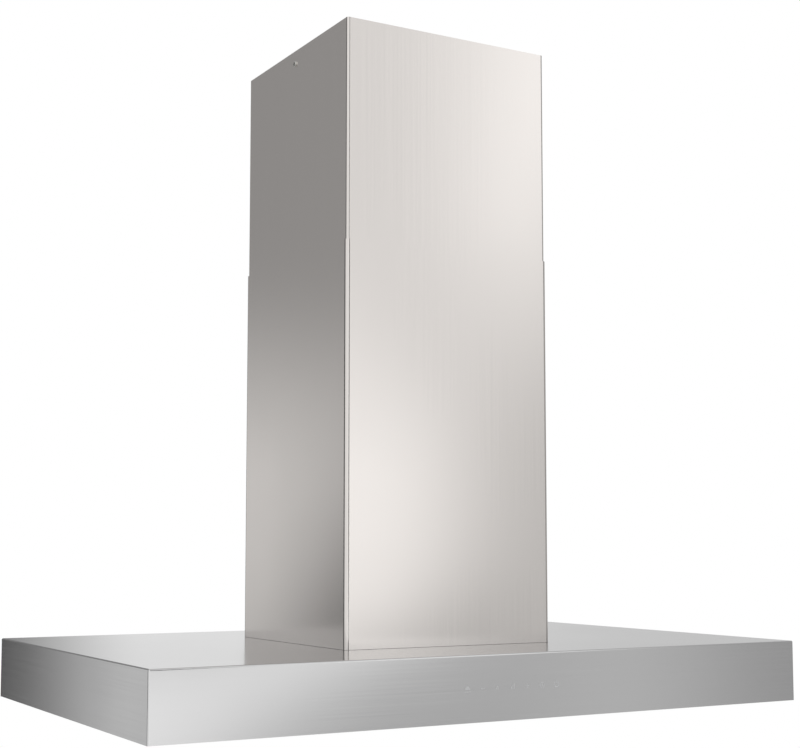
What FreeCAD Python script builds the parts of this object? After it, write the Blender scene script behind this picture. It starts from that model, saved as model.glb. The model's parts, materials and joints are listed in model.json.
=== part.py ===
import FreeCAD, Part
import math
import operator
import os
from types import SimpleNamespace

import Sketcher
from FreeCAD import Placement, Rotation, Vector

# An island chimney hood: a flat folded canopy under a square telescopic flue, hung from the ceiling.
# Lengths are millimetres. The origin is the middle of the ceiling plate's top face, +Z is up and
# the side with the touch controls faces -Y.

SIZES = {
    # canopy: a folded box open underneath, with its lower edge returned inwards
    "canopy_width": 900,
    "canopy_depth": 575,
    "canopy_height": 78,
    "canopy_sheet": 1.0,
    "canopy_bend": 2.0,
    "canopy_return": 10,
    # flue: two square sleeves, the upper one inside the lower one
    "flue_width": 302,
    "flue_depth": 302,
    "flue_sheet": 0.8,
    "flue_bend": 5,
    "flue_gap": 0.7,
    "flue_reach": 788,
    "lower_flue_length": 505,
    "flue_overlap": 197,
    "flue_hole_radius": 2.5,
    "flue_hole_drop": 18,
    "locator_height": 15,
    "locator_sheet": 1.5,
    "locator_gap": 0.3,
    # ceiling plate
    "plate_sheet": 2,
    "plate_drop": 32,
    "plate_ring": 43.7,
    "duct_corner": 12,
    "ceiling_hole_inset": 23.7,
    "ceiling_hole_radius": 3.5,
    # telescopic frame of eight angle posts
    "post_leg": 25,
    "post_sheet": 1.5,
    "post_bend": 2,
    "post_gap": 0.3,
    "post_overlap": 172,
    "travel_up": 250,
    "travel_down": 120,
    "bolt_radius": 3,
    "bolt_drop": 20,
    "bolt_head_radius": 6,
    "bolt_head_height": 1.4,
    "bolt_head_gap": 0.3,
    "slot_gap": 0.4,
    "nut_radius": 5,
    "nut_height": 5,
    # blower box
    "blower_height": 280,
    "blower_sheet": 1.0,
    "blower_bend": 3,
    "blower_foot": 14,
    # fan scroll, wheel and motor
    "scroll_wall": 2,
    "scroll_room": 2,
    "scroll_step": 10,
    "scroll_lift": 20,
    "cutoff_gap": 6,
    "wheel_width": 140,
    "wheel_side_gap": 5,
    "wheel_ring": 3,
    "wheel_ring_edge": 1,
    "wheel_disc": 2.5,
    "blade_count": 18,
    "blade_depth": 14,
    "blade_sheet": 1.2,
    "blade_gap": 0.05,
    "hub_radius": 12,
    "hub_length": 22,
    "shaft_radius": 4,
    "shaft_gap": 0.05,
    "bracket_lap": 8,
    "motor_radius": 38,
    "motor_length": 54,
    "motor_bell_radius": 30,
    "motor_bell_length": 4,
    "motor_gap": 1,
    "bracket_sheet": 2,
    "bracket_rim": 10,
    "bracket_arm": 16,
    "bracket_arms": 3,
    "capacitor_radius": 17,
    "capacitor_length": 62,
    "capacitor_foot": 3,
    "capacitor_lift": 60,
    # outlet collar and damper
    "spigot_radius": 74,
    "spigot_wall": 2,
    "spigot_height": 60,
    "collar_lip": 6,
    "collar_sheet": 2,
    "damper_height": 13,
    "damper_ledge": 4,
    "damper_gap": 1.4,
    "damper_rest_gap": 0.3,
    "flap_sheet": 1.0,
    "knuckle_radius": 3,
    "knuckle_length": 40,
    "knuckle_pitch": 25,
    "knuckle_gap": 0.6,
    "pin_radius": 1.5,
    "pin_gap": 0.05,
    "pin_inset": 1.0,
    # junction box on the blower box
    "junction_side": 50,
    "junction_height": 38,
    "junction_sheet": 1.0,
    "junction_inset": 6,
    "cable_hole_radius": 11,
    # liner that closes the canopy underneath
    "liner_recess": 12,
    "liner_sheet": 1.0,
    "liner_gap": 0.5,
    "liner_bend": 1.5,
    "liner_bracket_width": 30,
    "liner_bracket_reach": 25,
    "liner_bracket_height": 20,
    "liner_bracket_sheet": 1.5,
    "liner_bracket_place": 250,
    # baffle filters
    "filter_strip": 122,
    "filter_margin": 96,
    "filter_bar": 8,
    "filter_gap": 1.0,
    "filter_rear_gap": 1.6,
    "filter_height": 12,
    "filter_sheet": 0.8,
    "filter_rim": 14,
    "filter_seat_gap": 0.3,
    "tongue_width": 24,
    "tongue_reach": 9,
    "tongue_place": 90,
    "baffle_count": 8,
    "baffle_gap": 1.2,
    "baffle_lap": 5.625,
    "baffle_height": 6,
    "baffle_sheet": 0.6,
    "baffle_hold": 2.5,
    "latch_width": 36,
    "latch_block": 4,
    "latch_gap": 0.3,
    "latch_bolt_width": 20,
    "latch_bolt_height": 2.5,
    "latch_reach": 5,
    "latch_travel": 5.5,
    "latch_tab": 7,
    "latch_tab_sheet": 1.6,
    # lamps
    "lamp_inset": 53,
    "lamp_length": 460,
    "lamp_width": 26,
    "lamp_flange": 4,
    "lamp_flange_height": 1.6,
    "lamp_height": 16,
    "lamp_wall": 3,
    "lamp_gap": 0.3,
    "lamp_hollow": 8,
    "lens_height": 3,
    "lens_gap": 0.2,
    "fin_depth": 5,
    "fin_count": 4,
    # control case and touch panel
    "case_width": 88,
    "case_depth": 170,
    "case_height": 38,
    "case_inset": 30,
    "case_wall": 2,
    "case_bend": 4,
    "board_sheet": 1.6,
    "board_gap": 3,
    "board_rail": 4,
    "transformer_across": -10,
    "transformer_along": -44,
    "transformer_width": 28,
    "transformer_depth": 40,
    "transformer_height": 25,
    "relays_across": 0,
    "relays_along": 12,
    "relays_width": 54,
    "relays_depth": 24,
    "relays_height": 14,
    "terminals_across": 0,
    "terminals_along": 62,
    "terminals_width": 62,
    "terminals_depth": 20,
    "terminals_height": 17,
    "touch_width": 170,
    "touch_depth": 14,
    "touch_room": 17,
    "touch_wall": 1.5,
    "touch_gap": 0.3,
}

ARITHMETIC = {"+": operator.add, "-": operator.sub, "*": operator.mul, "/": operator.truediv}
UP = Vector(0, 0, 1)
RIGHT = Vector(1, 0, 0)
REARWARD = Vector(0, 1, 0)
NO_TURN = Rotation()
Z_TO_X = Rotation(REARWARD, 90)
STRAIGHT = 0.99
NEAR = 0.01
# a pocket through a sheet is this many times as long as the sheet is thick, half to each side
THROUGH = 4
# the volute's front is this many radii and steps from the middle of its neck
VOLUTE_FRONT = 1.5
# the volute's lowest point is its first radius and this many steps below the fan's axis
VOLUTE_DROP = 1.5
QUARTER = math.pi / 2


class Size:
    """A length that carries the spreadsheet formula it comes from."""

    def __init__(self, value, formula):
        self.value = value
        self.formula = formula

    def __add__(self, other):
        return combine(self, "+", other)

    def __radd__(self, other):
        return combine(other, "+", self)

    def __sub__(self, other):
        return combine(self, "-", other)

    def __rsub__(self, other):
        return combine(other, "-", self)

    def __mul__(self, other):
        return combine(self, "*", other)

    def __rmul__(self, other):
        return combine(other, "*", self)

    def __truediv__(self, other):
        return combine(self, "/", other)

    def __neg__(self):
        return combine(-1, "*", self)


def as_size(number):
    if isinstance(number, Size):
        return number
    return Size(number, f"({number})")


def combine(left, sign, right):
    left = as_size(left)
    right = as_size(right)
    value = ARITHMETIC[sign](left.value, right.value)
    return Size(value, f"({left.formula} {sign} {right.formula})")


def fill_sheet():
    sheet = doc.addObject("Spreadsheet::Sheet", "Sizes")
    for row, (alias, value) in enumerate(SIZES.items(), 1):
        sheet.set(f"A{row}", alias)
        sheet.set(f"B{row}", str(value))
        sheet.setAlias(f"B{row}", alias)
    doc.recompute()
    return SimpleNamespace(**{alias: Size(float(sheet.get(alias)), f"Sizes.{alias}") for alias in SIZES})


def in_order(*lengths):
    return sorted(lengths, key=lambda length: length.value)


def bind(item, prop, length):
    item.setExpression(prop, as_size(length).formula)


def place(item, at, turn=NO_TURN):
    item.Placement = Placement(Vector(), turn)
    for letter, length in zip("xyz", at):
        bind(item, f"Placement.Base.{letter}", length)


def node(label, item):
    item.Label = label
    nodes[label] = item
    return item


# Part primitives and booleans

def box(name, low, high):
    item = doc.addObject("Part::Box", name)
    for prop, start, end in zip(("Length", "Width", "Height"), low, high):
        bind(item, prop, as_size(end) - start)
    place(item, low)
    return item


def cylinder(name, radius, length, at, axis=UP):
    item = doc.addObject("Part::Cylinder", name)
    bind(item, "Radius", radius)
    bind(item, "Height", length)
    place(item, at, Rotation(UP, axis))
    return item


def hexagon(name, radius, length, at, axis=UP):
    item = doc.addObject("Part::Prism", name)
    item.Polygon = 6
    bind(item, "Circumradius", radius)
    bind(item, "Height", length)
    place(item, at, Rotation(UP, axis))
    return item


def fuse(name, items):
    item = doc.addObject("Part::MultiFuse", name)
    item.Shapes = items
    return item


def cut(name, base, tools):
    item = doc.addObject("Part::Cut", name)
    item.Base = base
    item.Tool = tools[0] if len(tools) == 1 else fuse(f"{name}_tools", tools)
    return item


def group(name, items):
    item = doc.addObject("Part::Compound", name)
    item.Links = items
    return item


# PartDesign bodies

def new_body(label, at=(0, 0, 0), turn=NO_TURN):
    body = doc.addObject("PartDesign::Body", label)
    place(body, at, turn)
    return node(label, body)


def new_sketch(body, role="XY_Plane", offset=0):
    sketch = body.newObject("Sketcher::SketchObject", f"{body.Name}_sketch")
    sketch.AttachmentSupport = [(origin_feature(body, role), "")]
    sketch.MapMode = "FlatFace"
    bind(sketch, "AttachmentOffset.Base.z", offset)
    return sketch


def flat(point):
    return Vector(as_size(point[0]).value, as_size(point[1]).value, 0)


def dimension(sketch, kind, length, *where):
    index = sketch.addConstraint(Sketcher.Constraint(kind, *where, as_size(length).value))
    bind(sketch, f"Constraints[{index}]", length)


def join_ends(sketch, first, second):
    sketch.addConstraint(Sketcher.Constraint("Coincident", first, 2, second, 1))


def pin_point(sketch, geometry, vertex, point):
    dimension(sketch, "DistanceX", point[0], -1, 1, geometry, vertex)
    dimension(sketch, "DistanceY", point[1], -1, 1, geometry, vertex)


def polygon(sketch, points):
    first = sketch.GeometryCount
    following = points[1:] + points[:1]
    for start, end in zip(points, following):
        sketch.addGeometry(Part.LineSegment(flat(start), flat(end)))
    for step, point in enumerate(points):
        join_ends(sketch, first + step, first + (step + 1) % len(points))
        pin_point(sketch, first + step, 1, point)
    return sketch


def rectangle(sketch, left, right, low, high):
    return polygon(sketch, [(left, low), (right, low), (right, high), (left, high)])


def middle_rectangle(sketch, width, depth):
    return rectangle(sketch, -width / 2, width / 2, -depth / 2, depth / 2)


def circle(sketch, centre, radius):
    index = sketch.addGeometry(Part.Circle(flat(centre), UP, as_size(radius).value))
    pin_point(sketch, index, 3, centre)
    dimension(sketch, "Radius", radius, index)
    return sketch


def arc(sketch, centre, radius, start, end):
    """An arc with its centre pinned; the caller fixes its ends and its radius."""
    base = Part.Circle(flat(centre), UP, as_size(radius).value)
    index = sketch.addGeometry(Part.ArcOfCircle(base, start, end))
    pin_point(sketch, index, 3, centre)
    return index


def upright_slot(sketch, across, low, high, radius):
    """A round-ended slot whose end centres are at low and high."""
    top = arc(sketch, (across, high), radius, 0, math.pi)
    left = sketch.addGeometry(Part.LineSegment(flat((across - radius, high)), flat((across - radius, low))))
    bottom = arc(sketch, (across, low), radius, math.pi, 2 * math.pi)
    right = sketch.addGeometry(Part.LineSegment(flat((across + radius, low)), flat((across + radius, high))))
    for first, second in ((top, left), (left, bottom), (bottom, right), (right, top)):
        join_ends(sketch, first, second)
    for end in (top, bottom):
        dimension(sketch, "Radius", radius, end)
        for vertex in (1, 2):
            sketch.addConstraint(Sketcher.Constraint("Horizontal", end, vertex, end, 3))
    return sketch


def extrude(body, kind, sketch, length, reverse, both_ways):
    feature = body.newObject(kind, f"{body.Name}_{kind.split('::')[1].lower()}")
    feature.Profile = sketch
    feature.Reversed = reverse
    if both_ways:
        feature.SideType = "Symmetric"
    bind(feature, "Length", length)
    return feature


def pad(body, sketch, length, reverse=False, both_ways=False):
    return extrude(body, "PartDesign::Pad", sketch, length, reverse, both_ways)


def pocket(body, sketch, length, reverse=False, both_ways=True):
    feature = extrude(body, "PartDesign::Pocket", sketch, length, reverse, both_ways)
    pockets.append(feature)
    return feature


def repeat_round(body, feature, count):
    pattern = body.newObject("PartDesign::PolarPattern", f"{body.Name}_round")
    pattern.Originals = [feature]
    pattern.Axis = (origin_feature(body, "Z_Axis"), [""])
    pattern.Angle = 360
    bind(pattern, "Occurrences", count)
    body.Tip = pattern


def repeat_along_x(body, feature, length, count):
    pattern = body.newObject("PartDesign::LinearPattern", f"{body.Name}_row")
    pattern.Originals = [feature]
    pattern.Direction = (origin_feature(body, "X_Axis"), [""])
    bind(pattern, "Length", length)
    bind(pattern, "Occurrences", count)
    body.Tip = pattern


def origin_feature(body, role):
    return next(feature for feature in body.Origin.OriginFeatures if feature.Role == role)


def is_upright(edge):
    return abs(edge.tangentAt(edge.FirstParameter).z) > STRAIGHT


def faces_up(face):
    return face.normalAt(0, 0).z > STRAIGHT


def faces_down(face):
    return face.normalAt(0, 0).z < -STRAIGHT


def faces_endwise(face):
    return abs(face.normalAt(0, 0).z) > STRAIGHT


def on_top_or_upright(edge):
    top = max(vertex.Z for vertex in edge.Vertexes)
    level = min(vertex.Z for vertex in edge.Vertexes)
    return is_upright(edge) or level > top - NEAR and level > NEAR


def round_edges(body, wanted, radius):
    doc.recompute()
    base = body.Tip
    names = [f"Edge{index}" for index, edge in enumerate(base.Shape.Edges, 1) if wanted(edge)]
    feature = body.newObject("PartDesign::Fillet", f"{body.Name}_bend")
    feature.Base = (base, names)
    bind(feature, "Radius", radius)


def hollow(body, opened, sheet):
    doc.recompute()
    base = body.Tip
    names = [f"Face{index}" for index, face in enumerate(base.Shape.Faces, 1) if opened(face)]
    feature = body.newObject("PartDesign::Thickness", f"{body.Name}_sheet")
    feature.Base = (base, names)
    feature.Reversed = True
    bind(feature, "Value", sheet)


def folded_box(label, plan, height, bend, sheet, at, opened, bent=is_upright):
    """A rectangular sheet-metal box with bent edges, open where asked; its low face is at z = 0."""
    body = new_body(label, at)
    pad(body, middle_rectangle(new_sketch(body), *plan), height)
    round_edges(body, bent, bend)
    hollow(body, opened, sheet)
    return body


def headed_pin(name, at, axis, radius, length, head_radius, head_height):
    """A plain hexagon bolt or screw whose head stands against its axis at the given point."""
    shank = hexagon(f"{name}_shank", radius, length, at, axis)
    start = [middle - head_height * part for middle, part in zip(at, axis)]
    head = hexagon(f"{name}_head", head_radius, head_height, start, axis)
    return fuse(name, [shank, head])


doc = FreeCAD.newDocument("island_hood")
nodes = {}
pockets = []
size = fill_sheet()

# Heights, from the ceiling down
canopy_top = -size.flue_reach
canopy_bottom = canopy_top - size.canopy_height
liner_under = canopy_bottom + size.liner_recess
liner_top = liner_under + size.liner_sheet
filter_seat = liner_top + size.filter_seat_gap
blower_top = canopy_top + size.blower_height

# Half plans, from the flue inwards: each takes its place from the one outside it
flue_half = SimpleNamespace(x=size.flue_width / 2, y=size.flue_depth / 2)


def inside(outer, *steps):
    step = sum(steps[1:], steps[0])
    return SimpleNamespace(x=outer.x - step, y=outer.y - step)


lower_flue_inner = inside(flue_half, size.flue_sheet)
upper_flue_outer = inside(lower_flue_inner, size.flue_gap)
upper_flue_inner = inside(upper_flue_outer, size.flue_sheet)
upper_post_outer = inside(upper_flue_inner, size.plate_sheet)
post_step = size.post_sheet + size.post_gap
lower_post_outer = inside(upper_post_outer, post_step)
blower_outer = inside(lower_post_outer, size.post_sheet)
blower_inner = inside(blower_outer, size.blower_sheet)
foot_inner = inside(blower_outer, size.blower_foot)
duct_half = inside(upper_flue_inner, size.plate_ring)
canopy_half = SimpleNamespace(x=size.canopy_width / 2, y=size.canopy_depth / 2)
skirt_inner = inside(canopy_half, size.canopy_sheet)
return_inner = inside(canopy_half, size.canopy_return)
liner_half = inside(return_inner, size.liner_gap)
filter_half = canopy_half.y - size.filter_margin

# Telescopic posts: equal lengths that share the reach between canopy and ceiling
post_length = (size.flue_reach - size.plate_sheet + size.post_overlap) / 2

# Fan: the scroll fills the blower box from its front wall, with its neck in the middle
scroll_radius = (blower_inner.y - size.scroll_room - size.scroll_wall) / VOLUTE_FRONT - size.scroll_step
scroll_width = size.wheel_width / 2 + size.wheel_side_gap + size.scroll_wall
fan_place = -(scroll_radius / 2 + size.scroll_step)
scroll_bottom = canopy_top + size.scroll_lift + size.scroll_wall
fan_level = scroll_bottom + scroll_radius + size.scroll_step * VOLUTE_DROP
wheel_radius = scroll_radius - size.scroll_step / 2 - size.cutoff_gap
blade_inner = wheel_radius - size.blade_depth
inlet_radius = blade_inner
spigot_bore = size.spigot_radius - size.spigot_wall


def plan_of(half):
    return (half.x * 2, half.y * 2)


# Ceiling plate and flue

def on_duct_corner(edge):
    middle = edge.CenterOfMass
    return is_upright(edge) and abs(abs(middle.x) - duct_half.x.value) < NEAR \
        and abs(abs(middle.y) - duct_half.y.value) < NEAR


def make_ceiling_plate():
    bend = size.flue_bend - size.flue_sheet * 2 - size.flue_gap
    at = (0, 0, -size.plate_drop)
    body = folded_box("ceiling_plate", plan_of(upper_flue_inner), size.plate_drop, bend,
                      size.plate_sheet, at, faces_down)
    top = new_sketch(body, offset=size.plate_drop)
    pocket(body, middle_rectangle(top, *plan_of(duct_half)), size.plate_sheet * THROUGH)
    round_edges(body, on_duct_corner, size.duct_corner)
    holes = new_sketch(body, offset=size.plate_drop)
    for side in (-1, 1):
        for end in (-1, 1):
            centre = ((upper_flue_inner.x - size.ceiling_hole_inset) * side,
                      (upper_flue_inner.y - size.ceiling_hole_inset) * end)
            circle(holes, centre, size.ceiling_hole_radius)
    pocket(body, holes, size.plate_sheet * THROUGH)
    cross = circle(new_sketch(body, "YZ_Plane"), (0, size.plate_drop - size.flue_hole_drop),
                   size.flue_hole_radius)
    pocket(body, cross, size.flue_width)


def make_flue():
    upper_length = size.flue_reach - size.lower_flue_length + size.flue_overlap
    folded_box("lower_flue", plan_of(flue_half), size.lower_flue_length, size.flue_bend,
               size.flue_sheet, (0, 0, canopy_top), faces_endwise)
    upper_bend = size.flue_bend - size.flue_sheet - size.flue_gap
    upper = folded_box("upper_flue", plan_of(upper_flue_outer), upper_length, upper_bend,
                       size.flue_sheet, (0, 0, -upper_length), faces_endwise)
    hole = circle(new_sketch(upper, "YZ_Plane"), (0, upper_length - size.flue_hole_drop),
                  size.flue_hole_radius)
    pocket(upper, hole, size.flue_width)
    locator_bend = size.flue_bend - size.flue_sheet - size.locator_gap
    folded_box("flue_locator", plan_of(inside(lower_flue_inner, size.locator_gap)), size.locator_height,
               locator_bend, size.locator_sheet, (0, 0, canopy_top), faces_endwise)


# Telescopic frame

CORNERS = {
    "rear_right": (1, 1, 0),
    "rear_left": (-1, 1, 90),
    "front_left": (-1, -1, 180),
    "front_right": (1, -1, 270),
}


def on_post_corner(edge):
    middle = edge.CenterOfMass
    return is_upright(edge) and abs(middle.x) < NEAR and abs(middle.y) < NEAR


def angle_post(label, corner, outer, low, length):
    """An angle with its outer corner on the upright through the given half plan."""
    side, end, turn = CORNERS[corner]
    leg = size.post_leg
    sheet = size.post_sheet
    body = new_body(f"{label}_{corner}", (outer.x * side, outer.y * end, low), Rotation(UP, turn))
    profile = [(0, 0), (-leg, 0), (-leg, -sheet), (-sheet, -sheet), (-sheet, -leg), (0, -leg)]
    pad(body, polygon(new_sketch(body), profile), length)
    round_edges(body, on_post_corner, size.post_bend)
    return body


def bolt_places(face, level):
    """Where each corner's bolt meets the given half plan, with its direction to the flue's inside."""
    middle = inside(upper_post_outer, size.post_leg / 2)
    for corner, (side, end, turn) in CORNERS.items():
        if turn in (0, 180):
            yield corner, (middle.x * side, face.y * end, level), Vector(0, -end, 0)
        else:
            yield corner, (face.x * side, middle.y * end, level), Vector(-side, 0, 0)


def make_frame():
    """Upper and lower posts; one bolt to a corner runs in the upper post's slot and clamps the two."""
    upper_low = -size.plate_sheet - post_length
    bolt_level = canopy_top + post_length - size.bolt_drop
    slot_low = bolt_level - size.travel_down - upper_low
    slot_high = bolt_level + size.travel_up - upper_low
    slot_middle = -size.post_leg / 2
    for corner in CORNERS:
        upper = angle_post("upper_post", corner, upper_post_outer, upper_low, post_length)
        slot = upright_slot(new_sketch(upper, "XZ_Plane"), slot_middle, slot_low, slot_high,
                            size.bolt_radius + size.slot_gap)
        pocket(upper, slot, size.post_sheet * THROUGH)
        lower = angle_post("lower_post", corner, lower_post_outer, canopy_top, post_length)
        hole = circle(new_sketch(lower, "XZ_Plane"), (slot_middle + post_step, post_length - size.bolt_drop),
                      size.bolt_radius)
        pocket(lower, hole, size.post_sheet * THROUGH)
    head_face = inside(upper_flue_inner, size.plate_sheet - size.bolt_head_gap)
    shank = size.bolt_head_gap + post_step + size.post_sheet + size.nut_height
    bolts = [headed_pin(f"bolt_{name}", at, inward, size.bolt_radius, shank,
                        size.bolt_head_radius, size.bolt_head_height)
             for name, at, inward in bolt_places(head_face, bolt_level)]
    nuts = []
    for name, at, inward in bolt_places(blower_outer, bolt_level):
        blank = hexagon(f"nut_blank_{name}", size.nut_radius, size.nut_height, at, inward)
        bore = hexagon(f"nut_bore_{name}", size.bolt_radius, size.nut_height, at, inward)
        nuts.append(cut(f"nut_{name}", blank, [bore]))
    node("clamp_bolts", group("clamp_bolts", bolts))
    node("clamp_nuts", group("clamp_nuts", nuts))


# Canopy and liner

def ring(body, outer, inner, offset, sheet):
    sketch = middle_rectangle(new_sketch(body, offset=offset), *plan_of(outer))
    middle_rectangle(sketch, *plan_of(inner))
    pad(body, sketch, sheet)


def make_canopy():
    body = folded_box("canopy_shell", plan_of(canopy_half), size.canopy_height, size.canopy_bend,
                      size.canopy_sheet, (0, 0, canopy_bottom), faces_down, on_top_or_upright)
    ring(body, skirt_inner, return_inner, 0, size.canopy_sheet)
    opening = middle_rectangle(new_sketch(body, offset=size.canopy_height), *plan_of(foot_inner))
    pocket(body, opening, size.canopy_sheet * THROUGH)


def bracket_places():
    """Middle of each liner bracket on the canopy's inner faces, with the direction inwards."""
    for end in (-1, 1):
        for side in (-1, 1):
            yield (size.liner_bracket_place * side, skirt_inner.y * end), (0, -end)
    for side in (-1, 1):
        yield (skirt_inner.x * side, as_size(0)), (-side, 0)


def filter_edges(side):
    """Left and right edges of the liner's opening for one filter."""
    edges = [size.filter_bar / 2 * side, (canopy_half.x - size.filter_strip) * side]
    return edges if side > 0 else edges[::-1]


def lamp_places():
    for name, end in (("front", -1), ("rear", 1)):
        yield name, (canopy_half.y - size.lamp_inset) * end


def make_liner():
    height = size.liner_recess + size.liner_sheet
    body = folded_box("liner", plan_of(liner_half), height, size.liner_bend, size.liner_sheet,
                      (0, 0, canopy_bottom), faces_down)
    openings = new_sketch(body, offset=height)
    for side in (-1, 1):
        left, right = filter_edges(side)
        rectangle(openings, left, right, -filter_half, filter_half)
    lamp_half_x = size.lamp_length / 2 + size.lamp_gap
    lamp_half_y = size.lamp_width / 2 + size.lamp_gap
    for name, middle in lamp_places():
        rectangle(openings, -lamp_half_x, lamp_half_x, middle - lamp_half_y, middle + lamp_half_y)
    pocket(body, openings, size.liner_sheet * THROUGH)
    brackets = [liner_bracket(index, *at, *inward) for index, (at, inward) in enumerate(bracket_places())]
    node("liner_brackets", group("liner_brackets", brackets))


def liner_bracket(index, x, y, to_x, to_y):
    """An angle welded to the canopy's inner face, with a foot on the liner."""
    half_x = size.liner_bracket_width / 2 * abs(to_y)
    half_y = size.liner_bracket_width / 2 * abs(to_x)

    def leg(name, reach, height):
        left, right = in_order(x - half_x, x + half_x + reach * to_x)
        front, rear = in_order(y - half_y, y + half_y + reach * to_y)
        return box(name, (left, front, liner_top), (right, rear, liner_top + height))

    foot = leg(f"bracket_foot_{index}", size.liner_bracket_reach, size.liner_bracket_sheet)
    back = leg(f"bracket_back_{index}", size.liner_bracket_sheet, size.liner_bracket_height)
    return fuse(f"bracket_{index}", [foot, back])


# Blower: box, scroll, wheel and motor

def make_blower_box():
    body = folded_box("blower_box", plan_of(blower_outer), size.blower_height, size.blower_bend,
                      size.blower_sheet, (0, 0, canopy_top), faces_down)
    ring(body, blower_inner, foot_inner, 0, size.blower_sheet)
    outlet = circle(new_sketch(body, offset=size.blower_height), (0, 0), spigot_bore - size.damper_ledge)
    pocket(body, outlet, size.blower_sheet * THROUGH)


def scroll_outline(sketch, grow):
    """The volute by the rule of the small square: quarter arcs about its corners, each a step larger."""
    half = size.scroll_step / 2
    inner_side = -half - grow
    outer_side = half + scroll_radius + size.scroll_step * 2 + grow
    top = blower_top - size.blower_sheet - fan_level
    centres = [(-half, -half), (half, -half), (half, half)]
    arcs = []
    for turn, centre in enumerate(centres):
        radius = scroll_radius + size.scroll_step * turn + grow
        arcs.append(arc(sketch, centre, radius, QUARTER * (turn + 1), QUARTER * (turn + 2)))
    dimension(sketch, "Radius", scroll_radius + grow, arcs[0])
    dimension(sketch, "DistanceX", inner_side, -1, 1, arcs[0], 1)
    dimension(sketch, "DistanceY", -half, -1, 1, arcs[0], 2)
    dimension(sketch, "DistanceX", half, -1, 1, arcs[1], 2)
    dimension(sketch, "DistanceY", half, -1, 1, arcs[2], 2)
    neck = [(outer_side, half), (outer_side, top), (inner_side, top), (inner_side, scroll_radius)]
    lines = [sketch.addGeometry(Part.LineSegment(flat(start), flat(end)))
             for start, end in zip(neck, neck[1:])]
    pin_point(sketch, lines[0], 2, neck[1])
    pin_point(sketch, lines[1], 2, neck[2])
    chain = arcs + lines
    for first, second in zip(chain, chain[1:] + chain[:1]):
        join_ends(sketch, first, second)
    return sketch


def scroll_half(label, leftward):
    body = new_body(label, (0, fan_place, fan_level))
    pad(body, scroll_outline(new_sketch(body, "YZ_Plane"), size.scroll_wall), scroll_width, leftward)
    pocket(body, scroll_outline(new_sketch(body, "YZ_Plane"), as_size(0)), scroll_width - size.scroll_wall,
           not leftward, both_ways=False)
    pocket(body, circle(new_sketch(body, "YZ_Plane"), (0, 0), inlet_radius), scroll_width * THROUGH)


def annulus(body, outer, inner, offset, length):
    sketch = circle(new_sketch(body, offset=offset), (0, 0), outer)
    circle(sketch, (0, 0), inner)
    return pad(body, sketch, length)


def blade_outline(sketch):
    """A forward-curved blade: radial where the air enters, swept round where it leaves."""
    centre = (blade_inner, size.blade_depth)
    outer = arc(sketch, centre, size.blade_depth, QUARTER * 3, QUARTER * 4)
    inner = arc(sketch, centre, size.blade_depth - size.blade_sheet, QUARTER * 3, QUARTER * 4)
    dimension(sketch, "Radius", size.blade_depth, outer)
    dimension(sketch, "Radius", size.blade_depth - size.blade_sheet, inner)
    for curve in (outer, inner):
        dimension(sketch, "Distance", blade_inner, -1, 1, curve, 1)
        dimension(sketch, "Distance", wheel_radius, -1, 1, curve, 2)
    for vertex in (1, 2):
        ends = [sketch.getPoint(curve, vertex) for curve in (outer, inner)]
        line = sketch.addGeometry(Part.LineSegment(*ends))
        sketch.addConstraint(Sketcher.Constraint("Coincident", line, 1, outer, vertex))
        sketch.addConstraint(Sketcher.Constraint("Coincident", line, 2, inner, vertex))
    return sketch


def make_wheel():
    """A double-inlet wheel: a disc on the hub carries the blades, and a ring holds them at each end."""
    half = size.wheel_width / 2
    at = (0, fan_place, fan_level)
    disc = new_body("fan_wheel", at, Z_TO_X)
    annulus(disc, blade_inner - size.blade_gap, size.shaft_radius, -size.wheel_disc / 2, size.wheel_disc)
    annulus(disc, size.hub_radius, size.shaft_radius, -size.hub_length / 2, size.hub_length)
    blade_start = size.wheel_ring - half
    outer = wheel_radius + size.wheel_ring_edge
    inner = blade_inner - size.wheel_ring_edge
    rings = new_body("fan_rings", at, Z_TO_X)
    annulus(rings, outer, inner, -half, size.wheel_ring)
    annulus(rings, outer, inner, -blade_start, size.wheel_ring)
    blades = new_body("fan_blades", at, Z_TO_X)
    blade = pad(blades, blade_outline(new_sketch(blades, offset=blade_start)), -blade_start * 2)
    repeat_round(blades, blade, size.blade_count)


def make_motor():
    """A motor in the right-hand inlet, held by a bracket with three arms, and its shaft through the hub."""
    case_start = size.hub_length / 2 + size.motor_gap
    case_end = case_start + size.motor_length
    bell_end = scroll_width + size.bracket_sheet + size.motor_bell_length
    centre = (fan_place, fan_level)
    case = cylinder("motor_case", size.motor_radius, size.motor_length, (case_start, *centre), RIGHT)
    bell = cylinder("motor_bell", size.motor_bell_radius, bell_end - case_end, (case_end, *centre), RIGHT)
    bore = cylinder("motor_bore", size.shaft_radius + size.shaft_gap, bell_end, (0, *centre), RIGHT)
    node("motor", cut("motor", fuse("motor_blank", [case, bell]), [bore]))
    shaft_start = -case_start
    shaft = cylinder("fan_shaft", size.shaft_radius, bell_end - shaft_start, (shaft_start, *centre), RIGHT)
    node("fan_shaft", shaft)
    bracket = new_body("motor_bracket", (scroll_width, *centre), Z_TO_X)
    rim = size.motor_bell_radius + size.bracket_rim
    annulus(bracket, rim, size.motor_bell_radius, 0, size.bracket_sheet)
    arm = rectangle(new_sketch(bracket), rim - size.bracket_rim / 2, inlet_radius + size.bracket_lap,
                    -size.bracket_arm / 2, size.bracket_arm / 2)
    repeat_round(bracket, pad(bracket, arm, size.bracket_sheet), size.bracket_arms)


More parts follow.
